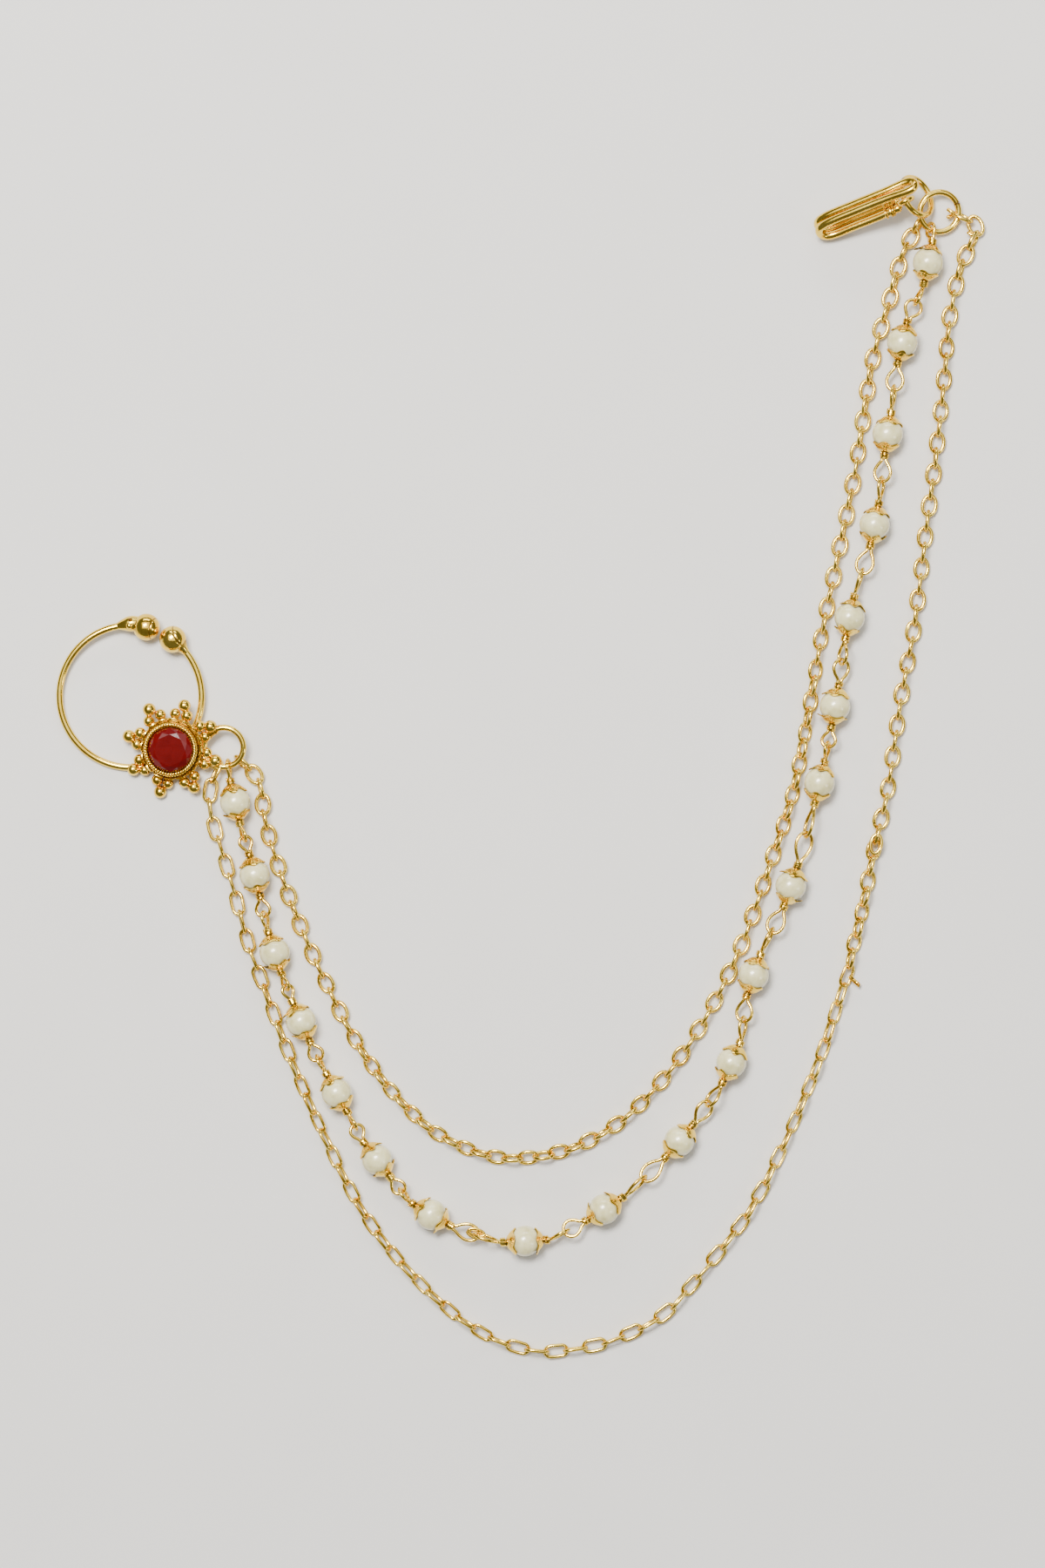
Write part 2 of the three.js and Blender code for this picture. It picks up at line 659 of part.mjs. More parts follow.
function pearlStrand() {
  const seats = pearlSeats();
  const meshes = [];
  const backLoops = [];
  const frontLoops = [];
  seats.slice(1).forEach((seat, i) => {
    const previous = seats[i];
    const span = seat.back.clone().sub(previous.front);
    const middle = previous.front.clone().addScaledVector(span, 0.5);
    const step = span.clone().normalize().multiplyScalar(linkDepth / 2);
    const turn = loopTurns[i];
    frontLoops[i] = { far: middle.clone().add(step), normal: turnedNormal(span, turn) };
    backLoops[i + 1] = { far: middle.clone().sub(step), normal: turnedNormal(span, turn + 90) };
  });
  const last = seats.length - 1;
  backLoops[0] = ringHold(seats[0].back, sideRingFrame, sideRingRadius, sideRingWire, nosePearlHold);
  frontLoops[last] = ringHold(seats[last].front, jumpRingFrame, jumpRingRadius, jumpRingWire, hairPearlHold);
  seats.forEach((seat, i) => {
    const number = String(i + 1).padStart(2, "0");
    const turn = new THREE.Quaternion().setFromUnitVectors(up, seat.axis);
    const pearl = pearlShape().applyQuaternion(turn).translate(...seat.centre.toArray());
    const pin = cappedPin().applyQuaternion(turn).translate(...seat.centre.toArray());
    const back = backLoops[i];
    const front = frontLoops[i];
    const link = joined([
      pin,
      loopShape(seat.back, seat.axis.clone().negate(), back.far, back.normal),
      loopShape(seat.front, seat.axis, front.far, front.normal),
    ]);
    meshes.push(named(`pearl_${number}`, pearl, pearlWhite), named(`pearl_link_${number}`, link, gold));
  });
  return meshes;
}

// A loop that holds a ring's wire: its far end lies beyond the wire, square to it.
function ringHold(from, frame, radius, wire, degrees) {
  const wireCentre = onRing(frame, radius, degrees);
  const along = wireCentre.clone().sub(from).normalize();
  const far = wireCentre.clone().addScaledVector(along, wire / 2 + pinWire / 2 + loopPlay);
  const tangent = tangentOfRing(frame, degrees);
  return { far, normal: tangent.addScaledVector(along, -tangent.dot(along)).normalize() };
}

// Chains

// The tube that a chain fills, along its route, stopping short of what holds either end.
function chainTube(points, width) {
  const path = new THREE.CatmullRomCurve3(points, false, "centripetal");
  const steps = Math.round(path.getLength() / tubeStep);
  return wireAlong(points, width, tubeSides, steps);
}

function routeOf(places) {
  return places.map(([x, y]) => new THREE.Vector3(x, y, chainRest));
}

// The end of a chain at a ring: clear of the ring's wire, on the line from the next point.
function endAt(next, frame, radius, wire, degrees, gap = chainEndGap) {
  const hold = onRing(frame, radius, degrees).setZ(chainRest);
  const away = next.clone().sub(hold).normalize();
  return hold.addScaledVector(away, wire / 2 + gap);
}

function chains() {
  const inner = routeOf(innerRoute);
  inner.unshift(endAt(inner[0], sideRingFrame, sideRingRadius, sideRingWire, noseInnerHold));
  inner.push(endAt(inner.at(-1), jumpRingFrame, jumpRingRadius, jumpRingWire, hairInnerHold, crowdedEndGap));
  const long = routeOf(outerLongRoute);
  long.unshift(endAt(long[0], sideRingFrame, sideRingRadius, sideRingWire, noseOuterHold));
  const round = routeOf(outerRoundRoute);
  const towards = round[1].clone().sub(round[0]).normalize();
  round[0].addScaledVector(towards, splice);
  round.push(endAt(round.at(-1), jumpRingFrame, jumpRingRadius, jumpRingWire, hairOuterHold));
  return [
    named("inner_chain", chainTube(inner, roundLinkWidth), gold),
    named("outer_chain_long", chainTube(long, longLinkWidth), gold),
    named("outer_chain_round", chainTube(round, roundLinkWidth), gold),
  ];
}

// Assembly

const nath = new THREE.Group();
nath.add(noseRing(), ...pearlStrand(), ...chains(), ...hairRings(), hairHook());

// The origin is the bottom centre of the whole.
const box = new THREE.Box3().setFromObject(nath, true);
const middle = box.getCenter(new THREE.Vector3());
nath.position.set(-middle.x, -middle.y, -box.min.z);

const part = new THREE.Group();
part.add(nath);

export default part;
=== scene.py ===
import math
from collections import namedtuple

import bmesh
import bpy
import numpy as np
from mathutils import Matrix, Quaternion, Vector


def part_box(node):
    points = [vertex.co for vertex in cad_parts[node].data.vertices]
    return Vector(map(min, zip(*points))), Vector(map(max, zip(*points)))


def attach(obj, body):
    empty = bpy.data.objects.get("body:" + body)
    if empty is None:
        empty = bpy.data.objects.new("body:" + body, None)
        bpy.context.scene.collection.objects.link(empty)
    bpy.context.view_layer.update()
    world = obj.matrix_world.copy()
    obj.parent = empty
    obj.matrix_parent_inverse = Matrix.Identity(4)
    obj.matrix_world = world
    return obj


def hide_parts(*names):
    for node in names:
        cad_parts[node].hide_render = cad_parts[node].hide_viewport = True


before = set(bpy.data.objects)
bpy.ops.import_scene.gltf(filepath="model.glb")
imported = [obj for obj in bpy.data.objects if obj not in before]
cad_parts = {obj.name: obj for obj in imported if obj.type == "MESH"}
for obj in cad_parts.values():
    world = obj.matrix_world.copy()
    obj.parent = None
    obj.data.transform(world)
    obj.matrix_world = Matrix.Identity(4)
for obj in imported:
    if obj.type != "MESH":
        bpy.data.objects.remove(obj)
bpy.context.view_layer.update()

# A nath: an open nose hoop with a red-stoned rosette, three strands and a hair hook, lying flat.
# Shapes are worked out in millimetres and become metres when they are made into pieces.
MM = 0.001
UP = Vector((0, 0, 1))
rng = np.random.default_rng(11)

# Nose hoop
HOOP_DIAMETER = 18.4  # at the wire's centre
HOOP_WIRE = 0.9
TERMINAL_BALL = 3.5
BALL_GAP = 0.25
OPENING = 65  # bearing of the gap between the balls
NECK_LENGTH = 2.0
SLEEVE_ASIDE = 0.32  # of the sleeve's start, outwards from the hoop
# Rows of the soldered sleeve: share of its length, and half of its width
SLEEVE = [(0.0, 0.9), (0.35, 1.05), (0.55, 0.98), (0.75, 0.74), (0.92, 0.54), (1.0, 0.46)]
# On the sleeve: diameter, distance along the hoop from the ball, distance outwards, height
SOLDER_BEAD = (0.95, 2.15, -0.05, 0.75)
SOLDER_PIT = (0.62, 2.0, 0.62, 0.72)
# Rows of the other ball's collar: distance from the ball's centre, width, painted shade (heaviest where the
# collar meets the ball)
BALL_COLLAR = [(1.25, 2.3, 0.8), (1.6, 1.7, 0.5), (1.9, 1.25, 0.1), (2.5, 0.92, 0.0)]
# Rows across the seam of a ball: degrees from it, painted shade in the groove, depth
SEAM_GROOVE = [(-3.2, 0.0, 0.0), (-1.2, 0.9, 0.06), (1.2, 0.9, 0.06), (3.2, 0.0, 0.0)]
SEAM_CLEARANCE = 4  # degrees from the seam that plain rows keep
# Seams of the two balls: latitude, and the bearing and rise of the axis that it runs round
FIRST_SEAM = (38, -12, 0.35)
SECOND_SEAM = (33, 28, 0.25)

# Rosette
ROSETTE_BEARING = -50.6
ROSETTE_INSET = 0.6
ROSETTE_LEAN = 5
LEAN_BEARING = -135
PLATE_DIAMETER = 8.2
PLATE_THICKNESS = 0.8
PLATE_SEAT = 0.22
COLLAR_DIAMETER = 7.1
COLLAR_HEIGHT = 1.1
ARCH_WIRE = 0.3
ARCH_REACH = 0.34
ARCH_RISE = 0.42
RIM_ROPE = 0.64
RIM_TURNS = 29
ROPE_STRAND_REACH = 0.29  # of a strand's centre, as a share of the rope
STONE_DIAMETER = 5.8
STONE_HEIGHT = 1.5
STONE_TABLE = 4.1
STONE_CLEARANCE = 0.1
STONE_BED = 0.35
GIRDLE_RISE = 0.52  # as a share of the stone's height
GIRDLE_BAND = 0.24
STAR_REACH = 0.83  # of the star facets' corners, as a share of the girdle's radius
CLUSTER_COUNT = 8
CLUSTER_BEARING = 29
TIP_GRANULE = 1.66
INNER_GRANULE = 1.44
INNER_SPREAD = 9.6
GRANULE_SOLDER = 0.2
GRANULE_DEPTH = 0.25  # of their centres below the plate's top, as a share of its thickness
GRANULE_NUDGE = 0.08
GRANULE_SIZES = (0.98, 1.06)
TIP_OVERHANG = 0.16  # of the outer granules, past where the solder would draw them

# Side ring
SIDE_RING_DIAMETER = 5.9
SIDE_RING_WIRE = 0.8
SIDE_RING_REACH = 1.05
SIDE_RING_BEARING = 1.5
SIDE_RING_PLACE = (-37.8, 2.6)
SIDE_RING_DROP = 0.1  # of its underside, below the plate's
SIDE_RING_DOUBLING = (200, 62)  # where the wire's ends lie side by side: bearing and arc
SIDE_RING_BINDING = (112, 34)  # where fine wire is wound round it: bearing and arc
DOUBLING_ASIDE = 0.34  # of the second end, outwards
DOUBLING_LIFT = 0.16
BINDING_WIRE = 0.34

# Pearls and their pins
PEARL_DIAMETER = 4.0
PIN_WIRE = 0.45
CAP_RISE = 0.4
CAP_SHEET = 0.13
CAP_PETALS = 5
CAP_CROWN = 78  # latitude of the cap's hole on the pearl
CAP_BEAD = 0.06  # of the thickened edge
PETAL_LIFT = 0.42
PETAL_TIP = 32
PETAL_VALLEY = (43, 56)
WRAP_WIRE = 0.34
WRAP_DIAMETER = 1.25
WRAP_LENGTH = 0.8
LOOP_WIDTH = 2.6
LOOP_PLAY = 0.22
FIRST_PEARL = (-36.4, -4.6)

# Chains
Link = namedtuple("Link", "length width wire straightness")
ROUND_LINK = Link(3.1, 2.28, 0.52, 0.15)
LONG_LINK = Link(3.42, 2.02, 0.46, 0.85)
EDGE_ROLL = 76.0  # of the links on edge, in degrees from the others
LINK_LOOSENESS = (0.06, 0.05, 0.13)  # how far a link may turn about each axis, in radians
CHAIN_SAG = 0.34  # of the flat links, below those on edge
CHAIN_STEPS = 400
CHAIN_REST = 1.1
REST_LEVEL = 0.01  # the lowest that thin pieces reach

# Rings and hook at the hair end
JUMP_RING_DIAMETER = 5.9
JUMP_RING_WIRE = 0.8
JUMP_RING_TILT = 11.3
JUMP_RING_HIGH_SIDE = 140
JUMP_RING_SEAM = 26
HOOK_RING_DIAMETER = 6.1
HOOK_RING_WIRE = 0.8
HOOK_RING_TILT = 48
HOOK_RING_AXIS = -62
HOOK_RING_SEAM = 200
HOOK_RING_HOLD = -90  # where the hook's eye hangs
HOOK_WIRE = 1.1
HOOK_PAIR_GAP = 0.06
HOOK_SPACING = 2.6
HOOK_LOWER_LENGTH = 9.6
HOOK_UPPER_LENGTH = 12.7
HOOK_TIP_WIDTH = 2.6
HOOK_BEARING = 201
HOOK_ROLL = 36
HOOK_EYE_BORE = 1.15
HOOK_EYE_WIRE = 0.7
HOOK_BINDINGS = [(0.9, 2), (1.9, 1)]  # distance from the eye, and turns of fine wire
HOOK_BINDING_WIRE = 0.3
HOOK_BINDING_PITCH = 0.32

# Where each strand takes hold of its ring, as a bearing on the ring
NOSE_PEARL_HOLD = -76
NOSE_INNER_HOLD = -39
NOSE_OUTER_HOLD = -106
HAIR_PEARL_HOLD = -116
HAIR_INNER_HOLD = -158
HAIR_OUTER_HOLD = -8

# Turn of the first loop at each joint of the strand, from level
LOOP_TURNS = [70, 20, 60, 10, 75, 15, 10, 80, 70, 30, 65, 75, 20, 70, 25, 80, 70, 75, 10]

# Places chosen along each chain, from the nose side to the hair side
INNER_ROUTE = [
    (-34.0, -1.0), (-33.0, -3.4), (-32.8, -6.0), (-30.9, -12.8), (-27.9, -20.9), (-24.5, -28.4),
    (-20.7, -35.7), (-15.9, -42.3), (-10.0, -47.6), (-2.1, -50.5), (6.3, -49.5), (13.1, -46.0),
    (18.8, -40.4), (23.5, -33.8), (28.4, -24.4), (32.5, -13.1), (35.6, -3.4), (37.5, 6.2),
    (39.2, 16.4), (41.3, 26.6), (43.4, 36.8), (44.7, 44.9), (46.0, 52.9), (48.3, 60.9),
    (49.9, 66.4),
]
OUTER_LONG_ROUTE = [
    (-39.5, -2.3), (-39.8, -4.6), (-39.3, -7.3), (-37.9, -11.8), (-36.7, -15.8), (-35.7, -19.6),
    (-34.4, -24.0), (-32.7, -28.6), (-29.4, -37.4), (-25.5, -46.5), (-20.0, -57.4), (-15.0, -64.1),
    (-7.9, -70.9), (-2.4, -74.2), (2.9, -75.5), (7.0, -75.3), (12.0, -74.2), (18.7, -70.9),
    (23.2, -66.2), (26.6, -62.0), (29.9, -57.6), (33.6, -50.6), (36.6, -43.9), (39.3, -37.1),
    (41.5, -30.4), (42.6, -27.0),
]
OUTER_ROUND_ROUTE = [
    (42.6, -27.0), (43.3, -23.6), (44.2, -20.2), (44.9, -16.9), (46.2, -10.1), (47.8, -3.4),
    (48.8, 3.4), (49.8, 10.1), (51.1, 16.9), (52.0, 23.6), (52.8, 30.4), (53.7, 37.1),
    (54.5, 43.9), (55.2, 50.6), (55.8, 57.4), (56.5, 61.3), (57.4, 64.7), (58.2, 66.6),
    (59.1, 68.4), (59.2, 70.0),
]

# Roll of the links along each chain: share of the chain's length, and degrees from level
INNER_ROLLS = [
    (0.0, 0), (0.14, 10), (0.22, 28), (0.33, 34), (0.42, 10), (0.55, 10), (0.66, 35), (0.78, 6), (1.0, 0),
]
OUTER_LONG_ROLLS = [(0.0, 0), (0.12, 8), (0.3, 35), (0.5, 30), (0.62, 6), (0.85, 28), (1.0, 38)]
OUTER_ROUND_ROLLS = [(0.0, 38), (0.2, 12), (0.5, 4), (0.8, 15), (0.92, 0), (1.0, 0)]

# Marks of handwork on the strands: places chosen as along the chains, with a height
TAIL_WIRE = 0.3
SPLICE_TAIL = [(42.9, -27.1, 1.2), (44.2, -28.3, 0.75)]
CUT_END = [(58.2, 69.0, 1.0), (58.9, 68.6, 1.15), (59.5, 68.7, 1.3)]
CUT_END_WIRE = 0.44
# Links laid over others: place, bearing, length and width, wire
DOUBLED_LINK = ((46.3, -10.0, 1.6), 79, (3.0, 1.9), ROUND_LINK.wire)
LOWER_BINDING = ((-5.35, -60.35, 2.1), -17, (2.7, 1.25), 0.36)
UPPER_BINDING = ((-5.25, -60.05, 2.42), -17, (2.5, 1.2), 0.36)

# Camera and lights
PHOTO_SCALE = 0.1125  # millimetres to a pixel of the photograph
PHOTO_WIDTH = 1200
PHOTO_HEIGHT = 1800
PLACE_ORIGIN = (594, 880)  # the pixel at the chosen places' own zero
CAMERA_HEIGHT = 700.0
FOCUS_LEVEL = 1.2
BOARD_HALF = 1.5  # metres
# Name, place and size in metres, power in watts, colour
LIGHTS = [
    ("overhead", (0.0, 0.27, 0.95), (1.4, 1.0), 7.0, (1.0, 0.98, 0.94)),
    ("key", (-0.17, 0.27, 0.8), (0.34, 0.22), 14.0, (1.0, 0.97, 0.92)),
    ("low", (0.0, 0.85, 0.36), (0.7, 0.14), 3.0, (0.97, 0.98, 1.0)),
    ("side", (0.75, -0.3, 0.5), (0.1, 0.3), 1.2, (1.0, 1.0, 1.0)),
]


# Node trees


class Graph:
    """A node tree under construction."""

    def __init__(self, tree):
        self.tree = tree

    def node(self, kind, settings=None, sockets=None, output=0):
        """Adds a node: its settings first, then the values or links of its sockets."""
        made = self.tree.nodes.new(kind)
        for name, value in (settings or {}).items():
            if name == "stops":
                self.set_stops(made.color_ramp, value)
            else:
                setattr(made, name, value)
        self.fill(made, sockets or {})
        return Value(self, made.outputs[output])

    def fill(self, node, sockets):
        """Sets a node's sockets. A list holds several links for one socket."""
        for key, value in sockets.items():
            for each in value if isinstance(value, list) else [value]:
                if isinstance(each, Value):
                    self.tree.links.new(each.socket, node.inputs[key])
                else:
                    node.inputs[key].default_value = each

    def set_stops(self, ramp, stops):
        while len(ramp.elements) < len(stops):
            ramp.elements.new(1.0)
        for element, (position, color) in zip(ramp.elements, stops):
            element.position = position
            element.color = (*color, 1.0)

    def math(self, operation, *values):
        return self.node("ShaderNodeMath", {"operation": operation}, dict(enumerate(values)))

    def vector(self, x, y, z):
        return self.node("ShaderNodeCombineXYZ", None, {0: x, 1: y, 2: z})

    def mix(self, factor, first, second):
        sockets = {0: factor, 6: first, 7: second}
        return self.node("ShaderNodeMix", {"data_type": "RGBA"}, sockets, output=2)

    def ramp(self, factor, *stops):
        return self.node("ShaderNodeValToRGB", {"stops": stops}, {"Fac": factor})

    def noise(self, place, scale, detail=3.0, roughness=0.5):
        sockets = {"Vector": place, "Scale": scale, "Detail": detail, "Roughness": roughness}
        return self.node("ShaderNodeTexNoise", None, sockets)

    def bump(self, height, strength, distance):
        sockets = {"Height": height, "Strength": strength, "Distance": distance}
        return self.node("ShaderNodeBump", None, sockets)

    def shifted(self, geometry, offset):
        sockets = {"Geometry": geometry, "Offset": offset}
        return self.node("GeometryNodeSetPosition", None, sockets)

    def instances(self, points, instance, **more):
        sockets = {"Points": points, "Instance": instance, **more}
        return self.node("GeometryNodeInstanceOnPoints", None, sockets)


class Value:
    """A socket that adds its Math nodes when it stands in an expression."""

    def __init__(self, graph, socket):
        self.graph = graph
        self.socket = socket

    def __add__(self, other):
        return self.graph.math("ADD", self, other)

    def __sub__(self, other):
        return self.graph.math("SUBTRACT", self, other)

    def __rsub__(self, other):
        return self.graph.math("SUBTRACT", other, self)

    def __mul__(self, other):
        return self.graph.math("MULTIPLY", self, other)

    def __truediv__(self, other):
        return self.graph.math("DIVIDE", self, other)

    def __rtruediv__(self, other):
        return self.graph.math("DIVIDE", other, self)

    __radd__ = __add__
    __rmul__ = __mul__

    def other_output(self, name):
        return Value(self.graph, self.socket.node.outputs[name])


# Finishes


def finish_graph(name):
    """A new material, its graph and the object coordinates in millimetres."""
    material = bpy.data.materials.new(name)
    material.use_nodes = True
    graph = Graph(material.node_tree)
    place = graph.node("ShaderNodeTexCoord").other_output("Object")
    place = graph.node("ShaderNodeMapping", None, {"Vector": place, "Scale": (1 / MM,) * 3})
    return material, graph, place


def finished(material, graph, sockets):
    graph.fill(material.node_tree.nodes["Principled BSDF"], sockets)
    return material


def polished_gold():
    """Warm gold plate: uneven in hue, rubbed paler in places, and brown with painted shade in its recesses
    and joins.
    """
    material, graph, place = finish_graph("polished_gold")
    broad = graph.noise(place, 0.35, 2.0)
    fine = graph.noise(place, 2.4, 4.0, 0.6)
    stops = [(0.3, (0.80, 0.47, 0.045)), (0.5, (0.93, 0.63, 0.08)), (0.72, (0.99, 0.75, 0.15))]
    hue = graph.ramp(0.65 * broad + 0.35 * fine, *stops)
    # The mesh attribute read here is painted shade for recesses, seam grooves and joins: the mix below turns
    # the gold dark brown and rougher there.
    darkened = graph.node("ShaderNodeAttribute", {"attribute_name": "darkened"}).other_output("Fac")
    shade_weight = graph.math("MINIMUM", darkened * (0.75 + 0.5 * fine), 1.0)
    return finished(material, graph, {
        "Base Color": graph.mix(shade_weight, hue, (0.13, 0.045, 0.006, 1.0)),
        "Roughness": 0.09 + 0.12 * fine + 0.25 * shade_weight,
        "Metallic": 1.0,
        "Normal": graph.bump(0.7 * fine + 0.3 * graph.noise(place, 9.0), 0.2, 0.05 * MM),
    })


def cream_pearl():
    """Pearl lustre: a cream body, clouded darker and a little rosy, under a clear, soft skin."""
    material, graph, place = finish_graph("cream_pearl")
    clouds = graph.noise(place, 0.9)
    stops = [(0.3, (0.60, 0.55, 0.25)), (0.5, (0.76, 0.71, 0.36)), (0.7, (0.85, 0.81, 0.47))]
    body = graph.ramp(clouds, *stops)
    return finished(material, graph, {
        "Base Color": graph.mix(0.3 * graph.noise(place, 0.45, 2.0), body, (0.78, 0.70, 0.44, 1.0)),
        "Roughness": 0.34 + 0.12 * clouds,
        "Normal": graph.bump(graph.noise(place, 2.2, 4.0), 0.12, 0.1 * MM),
        "Subsurface Weight": 0.12,
        "Subsurface Radius": (1.2 * MM, 1.0 * MM, 0.7 * MM),
        "Coat Weight": 1.0,
        "Coat Roughness": 0.2,
        "Coat IOR": 1.7,
    })


def deep_red_stone():
    """A deep red stone, faintly clouded, cut and polished."""
    material, graph, place = finish_graph("deep_red_stone")
    clouds = graph.noise(place, 0.8)
    return finished(material, graph, {
        "Base Color": graph.ramp(clouds, (0.35, (0.088, 0.0007, 0.0009)), (0.6, (0.108, 0.001, 0.0013))),
        "Roughness": 0.10 + 0.05 * clouds,
        "IOR": 1.5,
    })


def pale_board():
    """The plain pale surface that the piece lies on."""
    material, graph, place = finish_graph("pale_board")
    grain = graph.noise(place, 0.05, 4.0)
    return finished(material, graph, {
        "Base Color": graph.mix(grain, (0.70, 0.69, 0.67, 1.0), (0.74, 0.73, 0.71, 1.0)),
        "Roughness": 0.62,
    })


GOLD = polished_gold()
PEARL = cream_pearl()
STONE = deep_red_stone()


# Shapes


class Shape:
    """Points in millimetres, faces, and how much shade is painted on the metal at each point, from 0 to 1.
    """

    def __init__(self, points=(), faces=(), darkened=0.0):
        self.points = np.asarray(points, float).reshape(-1, 3)
        self.faces = [tuple(face) for face in faces]
        self.darkened = np.broadcast_to(np.asarray(darkened, float), len(self.points)).copy()

    def __add__(self, other):
        offset = len(self.points)
        points = np.vstack([self.points, other.points])
        faces = self.faces + [tuple(i + offset for i in face) for face in other.faces]
        return Shape(points, faces, np.concatenate([self.darkened, other.darkened]))

    def placed(self, matrix):
        turn = np.array(matrix.to_3x3())
        return Shape(self.points @ turn.T + np.array(matrix.to_translation()), self.faces, self.darkened)

    def moved(self, place):
        return Shape(self.points + np.array(place), self.faces, self.darkened)


def together(shapes):
    return sum(shapes, Shape())


def grid_faces(rows, columns, rows_close=False):
    """Quads between the points of a grid that is listed row by row and closes across each row."""
    faces = []
    for row in range(rows if rows_close else rows - 1):
        first = row * columns
        second = (row + 1) % rows * columns
        for column in range(columns):
            beside = (column + 1) % columns
            faces.append((first + column, first + beside, second + beside, second + column))
    return faces


def unit(vector):
    return vector / np.linalg.norm(vector)


def turning(angles, first, second):
    """Directions at angles from the first of two axes towards the second."""
    return np.outer(np.cos(angles), first) + np.outer(np.sin(angles), second)


def wire(points, diameter, sides=8, closed=False, darkened=0.0, blunt=False):
    """A round wire along points. diameter and the painted shade are one value, or one for each point."""
    points = np.asarray([tuple(point) for point in points], float)
    radii = np.broadcast_to(np.asarray(diameter, float) / 2, len(points)).copy()
    shades = np.broadcast_to(np.asarray(darkened, float), len(points)).copy()
    if closed:
        runs = np.roll(points, -1, axis=0) - np.roll(points, 1, axis=0)
    else:
        runs = np.gradient(points, axis=0)
    runs /= np.linalg.norm(runs, axis=1)[:, None]
    if not closed and not blunt:
        head = points[0] - runs[0] * radii[0] * 0.35
        tail = points[-1] + runs[-1] * radii[-1] * 0.35
        points = np.vstack([head, points, tail])
        runs = np.vstack([runs[0], runs, runs[-1]])
        radii = np.concatenate([[radii[0] * 0.6], radii, [radii[-1] * 0.6]])
        shades = np.concatenate([[shades[0]], shades, [shades[-1]]])
    normals = [unit(np.cross(runs[0], [0.13, 0.21, 0.97]))]
    for run in runs[1:]:
        normals.append(unit(normals[-1] - run * normals[-1].dot(run)))
    lag = 0.0
    if closed:
        last = unit(normals[-1] - runs[0] * normals[-1].dot(runs[0]))
        lag = math.atan2(np.cross(normals[0], last).dot(runs[0]), normals[0].dot(last))
    turns = np.arange(sides) / sides * 2 * math.pi
    rings = []
    for i, (point, run, normal, radius) in enumerate(zip(points, runs, normals, radii)):
        angles = turns - lag * i / len(points)
        rings.append(point + radius * turning(angles, normal, np.cross(run, normal)))
    faces = grid_faces(len(points), sides, closed)
    if not closed:
        faces.append(tuple(reversed(range(sides))))
        faces.append(tuple((len(points) - 1) * sides + i for i in range(sides)))
    return Shape(np.vstack(rings), faces, np.repeat(shades, sides))


def smooth(places, steps, steps_a_span=16):
    """Evenly spaced points on a centripetal curve through the places."""
    places = [np.array(tuple(place), float) for place in places]
    ends = [2 * places[0] - places[1], *places, 2 * places[-1] - places[-2]]
    dense = []
    for a, b, c, d in zip(ends, ends[1:], ends[2:], ends[3:]):
        first = np.linalg.norm(b - a) ** 0.5
        second = first + np.linalg.norm(c - b) ** 0.5
        third = second + np.linalg.norm(d - c) ** 0.5
        for t in np.linspace(first, second, steps_a_span, endpoint=False):
            ab = a + (b - a) * t / first
            bc = b + (c - b) * (t - first) / (second - first)
            cd = c + (d - c) * (t - second) / (third - second)
            left = ab + (bc - ab) * t / second
            right = bc + (cd - bc) * (t - first) / (third - first)
            dense.append(left + (right - left) * (t - first) / (second - first))
    dense.append(places[-1])
    return evenly(np.array(dense), steps)


def evenly(points, steps):
    lengths = np.concatenate([[0], np.cumsum(np.linalg.norm(np.diff(points, axis=0), axis=1))])
    wanted = np.linspace(0, lengths[-1], steps + 1)
    return np.stack([np.interp(wanted, lengths, points[:, axis]) for axis in range(3)], axis=1)


def length_of(points):
    return float(np.linalg.norm(np.diff(points, axis=0), axis=1).sum())


def turned(profile, around, wave=None, closed=False):
    """A surface of revolution about +Z, from rows of radius, height and painted shade.

    wave changes the radius round the axis.
    """
    angles = np.arange(around) / around * 2 * math.pi
    scale = np.ones(around) if wave is None else wave(angles)
    rings = []
    for radius, height, _ in profile:
        radii = radius * scale
        heights = np.full(around, float(height))
        rings.append(np.stack([radii * np.cos(angles), radii * np.sin(angles), heights], axis=1))
    faces = grid_faces(len(profile), around, closed)
    return Shape(np.vstack(rings), faces, np.repeat([row[2] for row in profile], around))


def on_globe(radius, latitude, darkened=0.0):
    """A row of a ball's profile."""
    angle = math.radians(latitude)
    return radius * math.cos(angle), radius * math.sin(angle), darkened


def ball(diameter, around, seam=None):
    """A ball about +Z, with a groove round it at the seam's latitude, painted dark as shade in the groove.
    """
    rows = [(latitude, 0.0, 0.0) for latitude in np.linspace(-90, 90, around // 2 + 1)]
    if seam is not None:
        rows = [row for row in rows if abs(row[0] - seam) > SEAM_CLEARANCE]
        rows += [(seam + offset, shade, dip) for offset, shade, dip in SEAM_GROOVE]
    rows.sort()
    return turned([on_globe(diameter / 2 - dip, latitude, shade) for latitude, shade, dip in rows], around)


def circle_points(radius, count, start=0.0, arc=360.0):
    """Points on a circle about +Z, all round it or along an arc with both of its ends."""
    whole = arc >= 360
    turns = [start + arc * i / (count if whole else count - 1) for i in range(count)]
    return [bearing(turn, radius) for turn in turns]


def cut_ring(radius, diameter, seam, around=48, sides=14, cut=1.2):
    """A wire ring about +Z, cut through at its seam. cut is in degrees."""
    points = circle_points(radius, around + 1, seam + cut / 2, 360 - cut)
    shades = np.zeros(around + 1)
    # Painted shade on the cut ends, where they face each other across the cut.
    shades[[0, -1]] = 1.0
    return wire(points, diameter, sides, darkened=shades, blunt=True)


